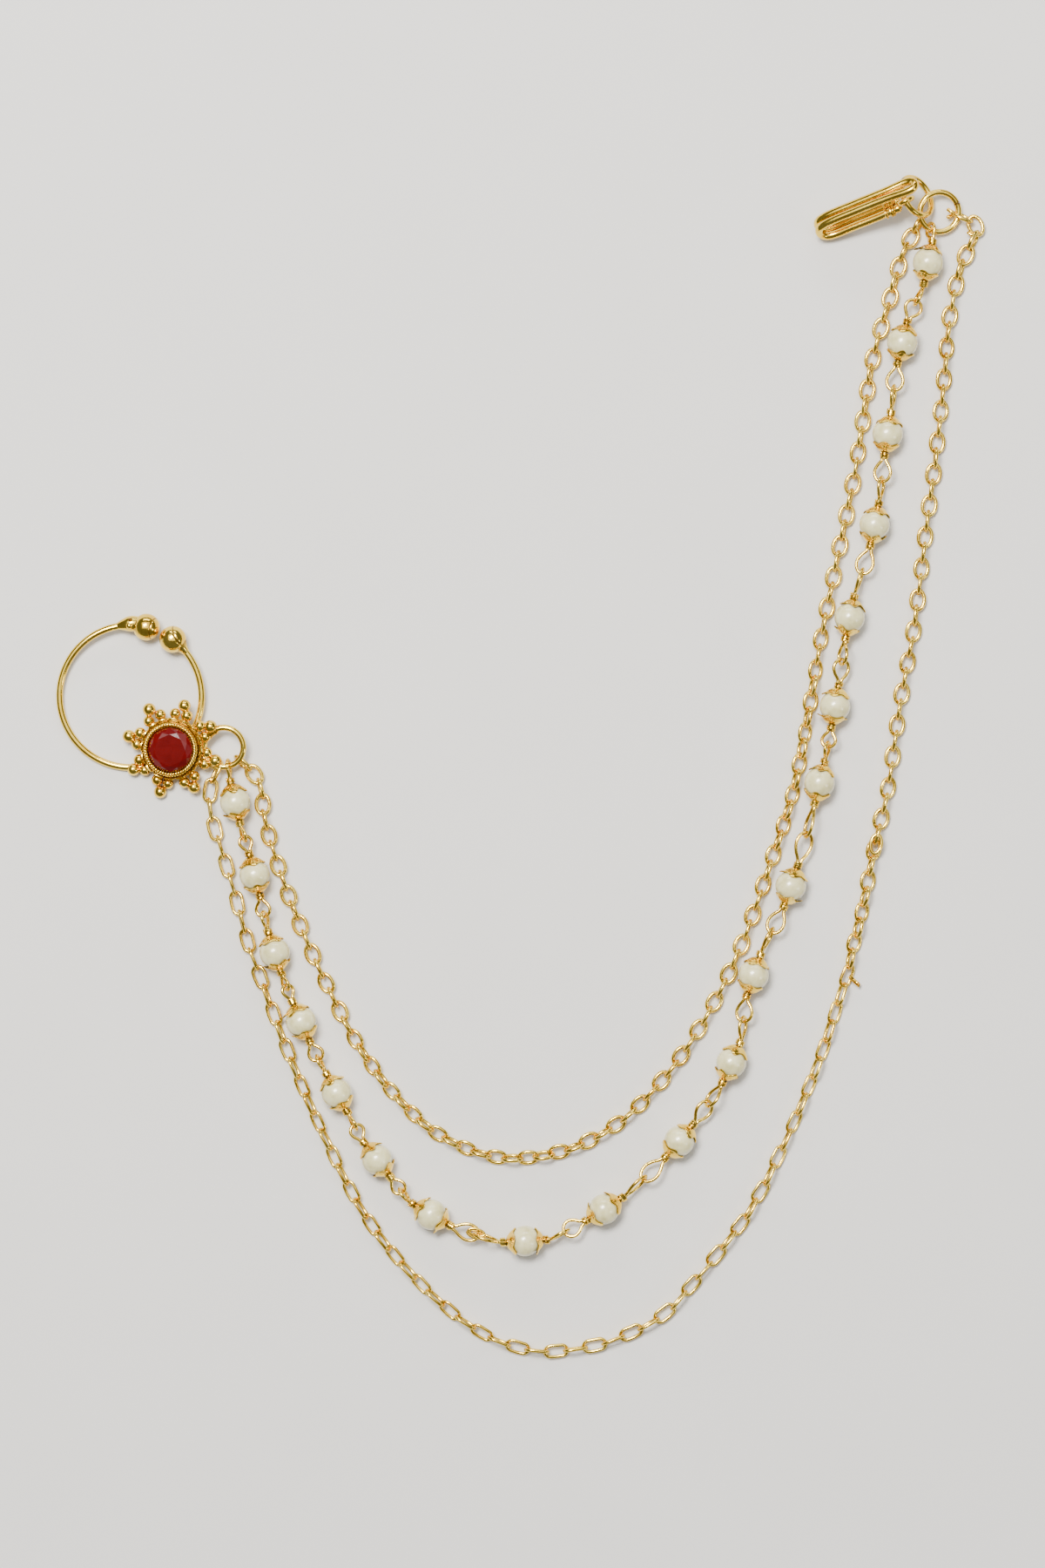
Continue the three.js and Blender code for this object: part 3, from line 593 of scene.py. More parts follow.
def coil(line, radius, diameter, turns, start=0.0, darkened=0.0, sides=7, steps_a_turn=14):
    """Wire wound round a line of points."""
    steps = int(turns * steps_a_turn)
    line = evenly(np.asarray([tuple(point) for point in line], float), steps)
    run = unit(line[-1] - line[0])
    side = unit(np.cross(run, [0.31, 0.17, 0.93]))
    angles = np.radians(start) + np.linspace(0, turns * 2 * math.pi, steps + 1)
    points = line + radius * turning(angles, side, np.cross(run, side))
    return wire(points, diameter, sides, darkened=darkened)


def bearing(degrees, reach=1.0):
    angle = math.radians(degrees)
    return Vector((reach * math.cos(angle), reach * math.sin(angle), 0.0))


def tipped(centre, low_side, angle):
    """A frame at centre whose side at a bearing is tipped down by an angle."""
    axis = UP.cross(bearing(low_side))
    return Matrix.Translation(Vector(centre)) @ Matrix.Rotation(math.radians(angle), 4, axis)


def framed(centre, across, along):
    """A frame at centre from two of its axes."""
    turn = Matrix((across, along, across.cross(along))).transposed()
    return Matrix.Translation(Vector(centre)) @ turn.to_4x4()


def standing(centre, axis):
    """A frame at centre whose +Z is the axis."""
    turn = UP.rotation_difference(Vector(axis)).to_matrix().to_4x4()
    return Matrix.Translation(Vector(centre)) @ turn


class WireRing:
    """A ring about its frame's +Z, with its radius at the wire's centre."""

    def __init__(self, frame_of_ring, outside, wire_diameter):
        self.frame = frame_of_ring
        self.wire = wire_diameter
        self.radius = (outside - wire_diameter) / 2

    def spot(self, degrees):
        return self.frame @ bearing(degrees, self.radius)

    def tangent(self, degrees):
        return self.frame.to_3x3() @ bearing(degrees + 90)


# Pieces

MERGE_DISTANCE = 0.0005
SHARP_ANGLE = 50


def mesh_of(name, shape, flat=False):
    mesh = bpy.data.meshes.new(name)
    mesh.from_pydata((shape.points * MM).tolist(), [], shape.faces)
    mesh.attributes.new("darkened", "FLOAT", "POINT").data.foreach_set("value", shape.darkened)
    build = bmesh.new()
    build.from_mesh(mesh)
    bmesh.ops.remove_doubles(build, verts=build.verts, dist=MERGE_DISTANCE * MM)
    bmesh.ops.recalc_face_normals(build, faces=build.faces)
    build.to_mesh(mesh)
    build.free()
    if not flat:
        mesh.shade_smooth()
        mesh.set_sharp_from_angle(angle=math.radians(SHARP_ANGLE))
    return mesh


def in_scene(name, data):
    made = bpy.data.objects.new(name, data)
    bpy.context.scene.collection.objects.link(made)
    return made


def piece(name, mesh, material, slot, *nodes):
    """A finished piece, which lies on the board and stands for some nodes of the frame."""
    if not mesh.materials:
        mesh.materials.append(material)
    for vertex in mesh.vertices:
        vertex.co.z = max(vertex.co.z, REST_LEVEL * MM)
    made = in_scene(name, mesh)
    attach(made, "root")
    if nodes:
        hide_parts(*nodes)


def gold_piece(name, shape, *nodes):
    piece(name, mesh_of(name, shape), GOLD, "gold", *nodes)


def middle_of(node):
    low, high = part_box(node)
    return (low + high) / (2 * MM)


# The chosen places lie this far from the frame's own.
SHIFT = middle_of("pearl_01") - Vector((*FIRST_PEARL, PEARL_DIAMETER / 2))


def arranged(kind, values=None, points=((0, 0, 0),), edges=(), roll=None):
    """The mesh that a node tree makes from some points, with the tree's named inputs set."""
    base = bpy.data.meshes.new(kind.name)
    base.from_pydata([tuple(point) for point in points], list(edges), [])
    if roll is not None:
        base.attributes.new("roll", "FLOAT", "POINT").data.foreach_set("value", roll)
    carrier = in_scene(kind.name, base)
    modifier = carrier.modifiers.new(kind.name, "NODES")
    modifier.node_group = kind
    for item in kind.interface.items_tree:
        if item.in_out == "INPUT" and item.name != "Geometry":
            modifier[item.identifier] = (values or {}).get(item.name, item.default_value)
    depsgraph = bpy.context.evaluated_depsgraph_get()
    made = bpy.data.meshes.new_from_object(carrier.evaluated_get(depsgraph), depsgraph=depsgraph)
    carrier.modifiers.remove(modifier)
    bpy.data.objects.remove(carrier)
    return made


def arrangement(name, inputs):
    """A new geometry node tree with named inputs, as a graph and its input values."""
    tree = bpy.data.node_groups.new(name, "GeometryNodeTree")
    tree.is_modifier = True
    tree.interface.new_socket("Geometry", in_out="INPUT", socket_type="NodeSocketGeometry")
    for socket_name, value in inputs.items():
        kind = "NodeSocketInt" if isinstance(value, int) else "NodeSocketFloat"
        socket = tree.interface.new_socket(socket_name, in_out="INPUT", socket_type=kind)
        socket.default_value = value
    tree.interface.new_socket("Geometry", in_out="OUTPUT", socket_type="NodeSocketGeometry")
    graph = Graph(tree)
    entry = tree.nodes.new("NodeGroupInput")
    return graph, {socket.name: Value(graph, socket) for socket in entry.outputs if socket.name}


def close_arrangement(graph, geometry, material):
    """Realizes the instances, gives them their finish and leads them out of the tree."""
    smooth_faces = graph.node("GeometryNodeSetShadeSmooth", None, {"Geometry": geometry})
    realized = graph.node("GeometryNodeRealizeInstances", None, {"Geometry": smooth_faces})
    painted = graph.node("GeometryNodeSetMaterial", None, {"Geometry": realized, "Material": material})
    leave = graph.tree.nodes.new("NodeGroupOutput")
    graph.tree.links.new(painted.socket, leave.inputs[0])
    return graph.tree


def wire_circle(graph, resolution, radius):
    return graph.node("GeometryNodeCurvePrimitiveCircle", None, {"Resolution": resolution, "Radius": radius})


def along_curve(graph, curve, section):
    return graph.node("GeometryNodeCurveToMesh", None, {"Curve": curve, "Profile Curve": section})


def random_vector(graph, reach, seed):
    """A random vector up to the reach each way."""
    span = {0: tuple(-part for part in reach), 1: reach, "Seed": seed}
    return graph.node("FunctionNodeRandomValue", {"data_type": "FLOAT_VECTOR"}, span)


def chain_kind():
    """Links along a line: every other one stands on edge, and the line's roll turns them all."""
    graph, given = arrangement("linked_chain", {
        "Links": 50,
        "Link length": ROUND_LINK.length * MM,
        "Link width": ROUND_LINK.width * MM,
        "Wire": ROUND_LINK.wire * MM,
        "Straightness": 0.0,
        "First on edge": 1.0,
        "Edge roll": EDGE_ROLL,
        "Sag": CHAIN_SAG * MM,
        "Seed": 3,
    })
    line = graph.node("GeometryNodeMeshToCurve", None, {"Mesh": given["Geometry"]})
    line = graph.node("GeometryNodeSetCurveNormal", {"mode": "Z_UP"}, {"Curve": line})
    roll = graph.node("GeometryNodeInputNamedAttribute", None, {"Name": "roll"})
    line = graph.node("GeometryNodeSetCurveTilt", None, {"Curve": line, "Tilt": roll})
    seats = graph.node("GeometryNodeCurveToPoints", None, {"Curve": line, "Count": given["Links"]})
    turn = seats.other_output("Rotation")
    edge = graph.math("MODULO", graph.node("GeometryNodeInputIndex") + given["First on edge"], 2.0)
    seats = graph.shifted(seats, graph.vector(0.0, 0.0, (edge - 1.0) * given["Sag"]))
    half_width = (given["Link width"] - given["Wire"]) * 0.5
    half_length = (given["Link length"] - given["Wire"]) * 0.5
    parts = graph.node("ShaderNodeSeparateXYZ", None, {0: graph.node("GeometryNodeInputPosition")})
    height = parts.other_output("Y")
    as_oval = height * (half_length / half_width - 1.0)
    as_slot = graph.math("SIGN", height) * (half_length - half_width)
    stretch = graph.vector(0.0, as_oval + (as_slot - as_oval) * given["Straightness"], 0.0)
    outline = graph.shifted(wire_circle(graph, 16, half_width), stretch)
    link = along_curve(graph, outline, wire_circle(graph, 6, given["Wire"] * 0.5))
    upright = {"Geometry": link, "Rotation": (math.radians(90), 0, 0)}
    link = graph.node("GeometryNodeTransform", None, upright)
    links = graph.instances(seats, link, Rotation=turn)
    jitter = random_vector(graph, LINK_LOOSENESS, given["Seed"])
    on_edge = graph.vector(0.0, 0.0, edge * given["Edge roll"] * (math.pi / 180))
    for rotation in (jitter, on_edge):
        turning_links = {"Instances": links, "Rotation": rotation}
        links = graph.node("GeometryNodeRotateInstances", None, turning_links)
    return close_arrangement(graph, links, GOLD)


def granule_kind():
    """Clusters of three balls round a centre."""
    graph, given = arrangement("granule_clusters", {
        "Clusters": CLUSTER_COUNT,
        "First bearing": float(CLUSTER_BEARING),
        "Tip reach": (tip_reach + TIP_OVERHANG) * MM,
        "Tip granule": TIP_GRANULE * MM,
        "Inner reach": inner_reach * MM,
        "Inner granule": INNER_GRANULE * MM,
        "Inner spread": INNER_SPREAD,
        "Seed": 5,
    })
    balls = []
    for offset, (row, side) in enumerate((("Tip", 0.0), ("Inner", 1.0), ("Inner", -1.0))):
        circle = {"Vertices": given["Clusters"], "Radius": given[f"{row} reach"]}
        seats = graph.node("GeometryNodeMeshCircle", None, circle)
        turn = (given["First bearing"] + given["Inner spread"] * side) * (math.pi / 180)
        about = {"Geometry": seats, "Rotation": graph.vector(0.0, 0.0, turn)}
        seats = graph.node("GeometryNodeTransform", None, about)
        nudge = random_vector(graph, (GRANULE_NUDGE * MM,) * 3, given["Seed"] + offset)
        seats = graph.shifted(seats, nudge)
        round_ball = {"Segments": 20, "Rings": 12, "Radius": given[f"{row} granule"] * 0.5}
        granule = graph.node("GeometryNodeMeshUVSphere", None, round_ball)
        sizes = {2: GRANULE_SIZES[0], 3: GRANULE_SIZES[1], "Seed": given["Seed"] + (offset + 7)}
        scale = graph.node("FunctionNodeRandomValue", {"data_type": "FLOAT"}, sizes, output=1)
        balls.append(graph.instances(seats, granule, Scale=scale))
    return close_arrangement(graph, graph.node("GeometryNodeJoinGeometry", None, {0: balls}), GOLD)


def rope_kind():
    """A twisted rope of two wires, closed to a ring."""
    graph, given = arrangement("twisted_ring", {
        "Ring radius": (STONE_DIAMETER + RIM_ROPE) / 2 * MM,
        "Rope": RIM_ROPE * MM,
        "Turns": RIM_TURNS,
    })
    steps_a_turn = 10
    steps = given["Turns"] * steps_a_turn
    along = graph.node("GeometryNodeInputIndex") * (2 * math.pi) / steps
    offset = given["Rope"] * ROPE_STRAND_REACH
    section = wire_circle(graph, 7, given["Rope"] * (0.5 - ROPE_STRAND_REACH))
    strands = []
    for phase in (0.0, math.pi):
        twist = along * given["Turns"] + phase
        reach = given["Ring radius"] + offset * graph.math("COSINE", twist)
        place = graph.vector(
            reach * graph.math("COSINE", along),
            reach * graph.math("SINE", along),
            offset * graph.math("SINE", twist),
        )
        line = graph.node("GeometryNodeCurvePrimitiveCircle", None, {"Resolution": steps})
        line = graph.node("GeometryNodeSetPosition", None, {"Geometry": line, "Position": place})
        strands.append(along_curve(graph, line, section))
    return close_arrangement(graph, graph.node("GeometryNodeJoinGeometry", None, {0: strands}), GOLD)


# Nose ring

hoop_radius = HOOP_DIAMETER / 2
ball_half_angle = math.degrees(math.asin((TERMINAL_BALL + BALL_GAP) / 2 / hoop_radius))
hoop_rise = (TERMINAL_BALL - HOOP_WIRE) / 2 / (hoop_radius * (1 + math.cos(math.radians(ball_half_angle))))
hoop_tilt = math.degrees(math.asin(hoop_rise))
hoop_lift = HOOP_WIRE / 2 + hoop_radius * hoop_rise
inner_reach = PLATE_DIAMETER / 2 + INNER_GRANULE / 2 - GRANULE_SOLDER
granule_pitch = (TIP_GRANULE + INNER_GRANULE) / 2 - GRANULE_SOLDER
inner_half_span = inner_reach * math.sin(math.radians(INNER_SPREAD))
tip_reach = inner_reach * math.cos(math.radians(INNER_SPREAD))
tip_reach += math.sqrt(granule_pitch ** 2 - inner_half_span ** 2)
rosette_place = bearing(ROSETTE_BEARING, hoop_radius - ROSETTE_INSET)
side_ring_reach = tip_reach + SIDE_RING_REACH
hoop_centre = Vector((*SIDE_RING_PLACE, hoop_lift)) - rosette_place
hoop_centre -= bearing(SIDE_RING_BEARING, side_ring_reach)
HOOP_FRAME = tipped(hoop_centre + SHIFT, OPENING + 180, hoop_tilt)
ROSETTE_FRAME = HOOP_FRAME @ tipped(rosette_place, LEAN_BEARING, ROSETTE_LEAN)
plate_top = PLATE_SEAT + PLATE_THICKNESS
collar_top = plate_top + COLLAR_HEIGHT
stone_seat = plate_top + STONE_BED
granule_level = plate_top - PLATE_THICKNESS * GRANULE_DEPTH
setting_bore = STONE_DIAMETER + 2 * STONE_CLEARANCE
side_ring_level = PLATE_SEAT + SIDE_RING_WIRE / 2 - SIDE_RING_DROP
side_ring_centre = bearing(SIDE_RING_BEARING, side_ring_reach) + UP * side_ring_level
side_ring_frame = ROSETTE_FRAME @ Matrix.Translation(side_ring_centre)
SIDE_RING = WireRing(side_ring_frame, SIDE_RING_DIAMETER, SIDE_RING_WIRE)


def hoop_shape():
    arc = 360 - 2 * ball_half_angle
    points = circle_points(hoop_radius, 97, OPENING + ball_half_angle, arc)
    hoop = wire(points, HOOP_WIRE, 14)
    return hoop + first_ball() + second_ball()


def along_hoop(turn, distance, outwards=0.0, height=0.0):
    """A point at a distance along the hoop's wire from a bearing."""
    turn += math.degrees(distance / hoop_radius)
    return bearing(turn, hoop_radius + outwards) + UP * height


def seamed_ball(turn, seam, facing, rise):
    """A terminal ball whose seam runs round an axis at a bearing, raised from level."""
    axis = bearing(facing) + UP * rise
    return ball(TERMINAL_BALL, 44, seam).placed(standing(bearing(turn, hoop_radius), axis))


def first_ball():
    """The ball with the soldered sleeve, where the hoop's wire was bent back and fused."""
    turn = OPENING + ball_half_angle
    start = 0.25 * TERMINAL_BALL
    end = TERMINAL_BALL / 2 + NECK_LENGTH
    shares, half_widths = np.array(SLEEVE).T
    stations = []
    for share in shares:
        stations.append(along_hoop(turn, start + share * (end - start), SLEEVE_ASIDE * (1 - share)))
    widths = np.interp(np.linspace(0, 1, 15), shares, 2 * half_widths)
    sleeve = wire(smooth(stations, 14), widths, 14)
    bead = ball(SOLDER_BEAD[0], 16).moved(along_hoop(turn, *SOLDER_BEAD[1:]))
    pit = ball(SOLDER_PIT[0], 12).moved(along_hoop(turn, *SOLDER_PIT[1:]))
    # The solder pit is painted fully dark, as the shade in the hollow.
    pit.darkened[:] = 1.0
    return seamed_ball(turn, *FIRST_SEAM) + sleeve + bead + pit


def second_ball():
    """The ball that the wire runs straight into, through a small flared collar."""
    turn = OPENING - ball_half_angle
    # The collar's third column is painted shade, heaviest against the ball.
    distances, widths, shades = np.array(BALL_COLLAR).T
    stations = [along_hoop(turn, -distance) for distance in distances]
    return seamed_ball(turn, *SECOND_SEAM) + wire(stations, widths, 14, darkened=shades)


def rosette_shape():
    """The plate with its scalloped edge, the collar, its rows of little arches and the side ring."""
    plate = PLATE_DIAMETER / 2
    collar = COLLAR_DIAMETER / 2
    bore = setting_bore / 2
    lobes = 2 * CLUSTER_COUNT

    def scallop(angles):
        return 1 + 0.035 * np.abs(np.sin(angles * lobes / 2 - math.radians(CLUSTER_BEARING) * lobes / 2))

    # Third column: painted shade, heaviest on the plate's top under the granules and the stone.
    base = turned([
        (0, PLATE_SEAT, 0.3),
        (plate * 0.86, PLATE_SEAT, 0.3),
        (plate * 0.95, PLATE_SEAT + 0.12, 0.2),
        (plate * 0.97, plate_top - 0.3, 0.1),
        (plate * 0.93, plate_top - 0.08, 0.2),
        (plate * 0.85, plate_top, 0.7),
        (0, plate_top, 0.9),
    ], 160, wave=scallop)
    # Third column: painted shade, heaviest down inside the bezel round the stone.
    cup = turned([
        (collar - 0.35, plate_top - 0.1, 0.8),
        (collar - 0.05, plate_top, 0.6),
        (collar - 0.12, plate_top + 0.35, 0.35),
        (collar - 0.18, collar_top - 0.4, 0.35),
        (collar - 0.1, collar_top - 0.15, 0.55),
        (collar - 0.3, collar_top, 0.4),
        (bore + 0.04, collar_top + 0.02, 0.4),
        (bore, collar_top - 0.12, 0.7),
        (bore, stone_seat - 0.2, 0.9),
    ], 96, closed=True)
    # A disc under the stone, painted fully dark as the shade there.
    floor_profile = [(0, -0.16), (bore + 0.1, -0.16), (bore + 0.1, -0.3), (0, -0.3)]
    floor = turned([(radius, stone_seat + depth, 1.0) for radius, depth in floor_profile], 48)
    return base + cup + floor + little_arches(collar, lobes) + side_ring()


def little_arches(collar, lobes):
    """Bent wire arches that stand round the collar, two to a cluster."""
    arches = []
    half_step = 180 / lobes
    for i in range(lobes):
        middle = CLUSTER_BEARING + half_step * (2 * i + 1)
        points = []
        for turn in np.linspace(-1, 1, 11):
            rise = math.sqrt(max(0.0, 1 - abs(turn) ** 2.4))
            spot = bearing(middle + turn * half_step * 0.94, collar + 0.06 + ARCH_REACH * rise)
            points.append(spot + UP * (plate_top + 0.02 + ARCH_RISE * rise))
        # Painted shade towards the feet of each arch, where it meets the plate.
        shades = np.linspace(-0.5, 0.5, 11) ** 2 * 2.4
        arches.append(wire(points, ARCH_WIRE, 7, darkened=shades))
    # The wire ring at the collar's foot is painted half dark, as the shade in that corner.
    foot = wire(circle_points(collar + 0.12, 90), BINDING_WIRE, 7, closed=True, darkened=0.45)
    return together(arches) + foot.moved((0, 0, plate_top + 0.05))


def side_ring():
    """The soldered ring: its wire's ends lie side by side, and a few turns of fine wire bind it."""
    radius = SIDE_RING.radius
    body = wire(circle_points(radius, 44), SIDE_RING_WIRE, 12, closed=True)
    doubled = circle_points(radius + DOUBLING_ASIDE, 14, *SIDE_RING_DOUBLING)
    taper = np.interp(np.linspace(0, 1, 14), [0, 0.15, 0.85, 1], [0.25, 0.5, 0.5, 0.3])
    overlap = wire([point + UP * DOUBLING_LIFT for point in doubled], taper, 8)
    bound = circle_points(radius, 6, *SIDE_RING_BINDING)
    # The binding wire is painted a little darker, as the shade between its turns.
    binding = coil(bound, SIDE_RING_WIRE / 2 + 0.12, BINDING_WIRE, 4, darkened=0.25)
    return (body + overlap + binding).moved(side_ring_centre)


def stone_shape():
    """The cut stone: an eight-sided table, kites, a girdle and a tapered back."""
    girdle = STONE_DIAMETER / 2
    table = STONE_TABLE / 2
    level = STONE_HEIGHT * GIRDLE_RISE
    slope = (STONE_HEIGHT - level - GIRDLE_BAND / 2) / (girdle - table)
    star = girdle * STAR_REACH
    star_height = STONE_HEIGHT - slope * (star * math.cos(math.pi / 8) - table)
    points = []

    def circle(count, radius, height, offset):
        for i in range(count):
            points.append(bearing((i + offset) * 360 / count, radius) + UP * height)

    circle(8, table, STONE_HEIGHT, 0)
    circle(8, star, star_height, 0.5)
    circle(16, girdle, level + GIRDLE_BAND / 2, 0)
    circle(16, girdle, level - GIRDLE_BAND / 2, 0)
    circle(8, girdle * 0.72, 0, 0)
    build = bmesh.new()
    for point in points:
        build.verts.new(point)
    bmesh.ops.convex_hull(build, input=build.verts)
    bmesh.ops.dissolve_limit(build, angle_limit=math.radians(0.5), verts=build.verts, edges=build.edges)
    build.verts.ensure_lookup_table()
    build.verts.index_update()
    faces = [[vert.index for vert in face.verts] for face in build.faces]
    shape = Shape([vert.co[:] for vert in build.verts], faces)
    build.free()
    return shape.moved((0, 0, stone_seat)).placed(ROSETTE_FRAME)


def set_in_rosette(mesh, level):
    """Moves a mesh that is in metres to a level in the rosette."""
    scale = Matrix.Scale(MM, 4)
    mesh.transform(scale @ ROSETTE_FRAME @ Matrix.Translation(UP * level) @ scale.inverted())
    return mesh


def make_nose_ring():
    shape = hoop_shape().placed(HOOP_FRAME) + rosette_shape().placed(ROSETTE_FRAME)
    gold_piece("hoop_and_rosette", shape, "nose_ring")
    piece("rosette_granules", set_in_rosette(arranged(granule_kind()), granule_level), GOLD, "gold")
    piece("twisted_rim", set_in_rosette(arranged(rope_kind()), collar_top + 0.05), GOLD, "gold")
    stone = mesh_of("cut_red_stone", stone_shape(), flat=True)
    piece("cut_red_stone", stone, STONE, "red_stone", "red_stone")


# Rings at the hair end


def hook_ring_frame():
    tilt = math.radians(HOOK_RING_TILT)
    down = bearing(HOOK_RING_AXIS + 90, math.cos(tilt)) - UP * math.sin(tilt)
    return framed(middle_of("hook_ring"), bearing(HOOK_RING_AXIS), down)


jump_ring_frame = tipped(middle_of("hair_jump_ring"), JUMP_RING_HIGH_SIDE + 180, JUMP_RING_TILT)
JUMP_RING = WireRing(jump_ring_frame, JUMP_RING_DIAMETER, JUMP_RING_WIRE)
HOOK_RING = WireRing(hook_ring_frame(), HOOK_RING_DIAMETER, HOOK_RING_WIRE)


def make_rings():
    jump = cut_ring(JUMP_RING.radius, JUMP_RING_WIRE, JUMP_RING_SEAM).placed(JUMP_RING.frame)
    hook = cut_ring(HOOK_RING.radius, HOOK_RING_WIRE, HOOK_RING_SEAM).placed(HOOK_RING.frame)
    gold_piece("jump_ring", jump, "hair_jump_ring")
    gold_piece("hook_link_ring", hook, "hook_ring")


# Hair hook


def hook_frame():
    """The eye's centre, and a frame whose axes run to the bend, rise to the upper tine and go across."""
    eye = HOOK_RING.spot(HOOK_RING_HOLD)
    eye_radius = (HOOK_EYE_BORE + HOOK_EYE_WIRE) / 2
    start = eye + bearing(HOOK_BEARING, eye_radius * 0.75)
    start.z -= eye_radius * 0.66
    level = bearing(HOOK_BEARING - 90)
    roll = math.radians(HOOK_ROLL)
    bend_height = HOOK_WIRE / 2 + (HOOK_WIRE + HOOK_PAIR_GAP) / 2 * math.sin(roll)
    slope = math.asin((start.z - bend_height) / HOOK_LOWER_LENGTH)
    run = bearing(HOOK_BEARING, math.cos(slope)) - UP * math.sin(slope)
    upright = level.cross(run).normalized()
    if upright.z < 0:
        upright = -upright
    rise = upright * math.cos(roll) + level * math.sin(roll)
    across = level * math.cos(roll) - upright * math.sin(roll)
    return eye, start, run, rise, across


def make_hook():
    eye, start, run, rise, across = hook_frame()
    pair = (HOOK_WIRE + HOOK_PAIR_GAP) / 2
    bend = HOOK_SPACING / 2
    spread = (HOOK_TIP_WIDTH - HOOK_WIRE) / 2
    tip = HOOK_LOWER_LENGTH - HOOK_UPPER_LENGTH

    def place(along, height, side):
        return start + run * along + rise * height + across * side

    # One of the two wires: places along the lower tine, above it and aside
    half = [(0.2, 0, pair), (HOOK_LOWER_LENGTH * 0.35, -0.1, pair), (HOOK_LOWER_LENGTH * 0.7, -0.05, pair)]
    for turn in (0, 45, 90, 135, 180):
        angle = math.radians(turn)
        half.append((HOOK_LOWER_LENGTH + bend * math.sin(angle), bend - bend * math.cos(angle), pair))
    half.append((HOOK_LOWER_LENGTH * 0.55, HOOK_SPACING + 0.1, pair))
    half.append((HOOK_LOWER_LENGTH * 0.08, HOOK_SPACING + 0.05, pair + (spread - pair) * 0.15))
    half.append((tip + spread, HOOK_SPACING, spread))
    half.append((tip + spread * 0.3, HOOK_SPACING, spread * 0.75))
    mirrored = [(along, height, -side) for along, height, side in reversed(half)]
    spots = [place(*spot) for spot in [*half, (tip, HOOK_SPACING, 0), *mirrored]]
    wires = wire(smooth(spots, 150), HOOK_WIRE, 12)
    eye_across = (start - eye).normalized()
    eye_normal = HOOK_RING.tangent(HOOK_RING_HOLD)
    eye_along = eye_normal.cross(eye_across).normalized()
    eye_frame = framed(eye, eye_along.cross(eye_normal), eye_along)
    eye_circle = circle_points((HOOK_EYE_BORE + HOOK_EYE_WIRE) / 2, 30)
    eye_ring = wire(eye_circle, HOOK_EYE_WIRE, 12, closed=True).placed(eye_frame)
    bridge = wire([place(0.3, 0, -pair), place(0.3, 0, pair)], HOOK_WIRE * 0.9, 10)
    bindings = together(bound_pair(place, along, turns, pair) for along, turns in HOOK_BINDINGS)
    gold_piece("hair_hook_wires", wires + eye_ring + bridge + bindings, "hair_hook")


def bound_pair(place, along, turns, pair, steps_a_turn=20):
    """Fine wire wound flat round both wires of the lower tine."""
    reach = HOOK_WIRE / 2 + 0.13
    points = []
    for i in range(steps_a_turn * turns + 1):
        angle = 2 * math.pi * i / steps_a_turn
        side = pair * max(-1.0, min(1.0, 1.6 * math.cos(angle))) + reach * math.cos(angle)
        points.append(place(along + HOOK_BINDING_PITCH * i / steps_a_turn, reach * math.sin(angle), side))
    # The binding wire is painted a little darker, as the shade between its turns.
    return wire(points, HOOK_BINDING_WIRE, 7, darkened=0.15)


# Strand of pearls

PEARL_COUNT = 20
pearl_radius = PEARL_DIAMETER / 2
wrap_start = pearl_radius + CAP_RISE
wrap_end = wrap_start + WRAP_LENGTH
link_depth = PIN_WIRE + LOOP_PLAY


def pearl_seats():
    """Each pearl's centre and axis, and the two points where its loops start."""
    centres = [middle_of(f"pearl_{i + 1:02d}") for i in range(PEARL_COUNT)]
    line = [SIDE_RING.spot(NOSE_PEARL_HOLD), *centres, JUMP_RING.spot(HAIR_PEARL_HOLD)]
    seats = []
    for before, centre, after in zip(line, line[1:], line[2:]):
        inward = (centre - before) * Vector((1, 1, 0))
        outward = (after - centre) * Vector((1, 1, 0))
        axis = (inward.normalized() + outward.normalized()).normalized()
        seats.append((centre, axis, centre - axis * wrap_end, centre + axis * wrap_end))
    return seats


def turned_normal(line, degrees):
    """A direction square to a line, turned about it from level."""
    along = line.normalized()
    level = (UP - along * UP.dot(along)).normalized()
    return Quaternion(along, math.radians(degrees)) @ level


def ring_hold(start, held, degrees):
    """The far end and the normal of a loop that holds a ring's wire."""
    centre = held.spot(degrees)
    along = (centre - start).normalized()
    far = centre + along * (held.wire / 2 + PIN_WIRE / 2 + LOOP_PLAY)
    tangent = held.tangent(degrees)
    return far, (tangent - along * tangent.dot(along)).normalized()


def loop_shape(neck, pin_axis, far, normal):
    """A teardrop loop of wire from a neck to its far end."""
    reach = far - neck
    length = reach.length
    along = reach.normalized()
    side = normal.cross(along).normalized()
    half = min((LOOP_WIDTH - PIN_WIRE) / 2, length * 0.42)
    leg = PIN_WIRE * 0.54
    # Share of the length, and distance to either side
    outline = [(0.08, leg * 1.15), (0.32, half * 0.74), (0.6, half), (0.88, half * 0.7)]
    root = neck - pin_axis * (0.4 * WRAP_LENGTH)
    halves = []
    for aside in (side, -side):
        bow = [neck + along * (share * length) + aside * across for share, across in outline]
        halves.append([root + aside * leg, *bow])
    points = [*halves[0], far, *reversed(halves[1])]
    return wire(smooth(points, 34), PIN_WIRE, 8)


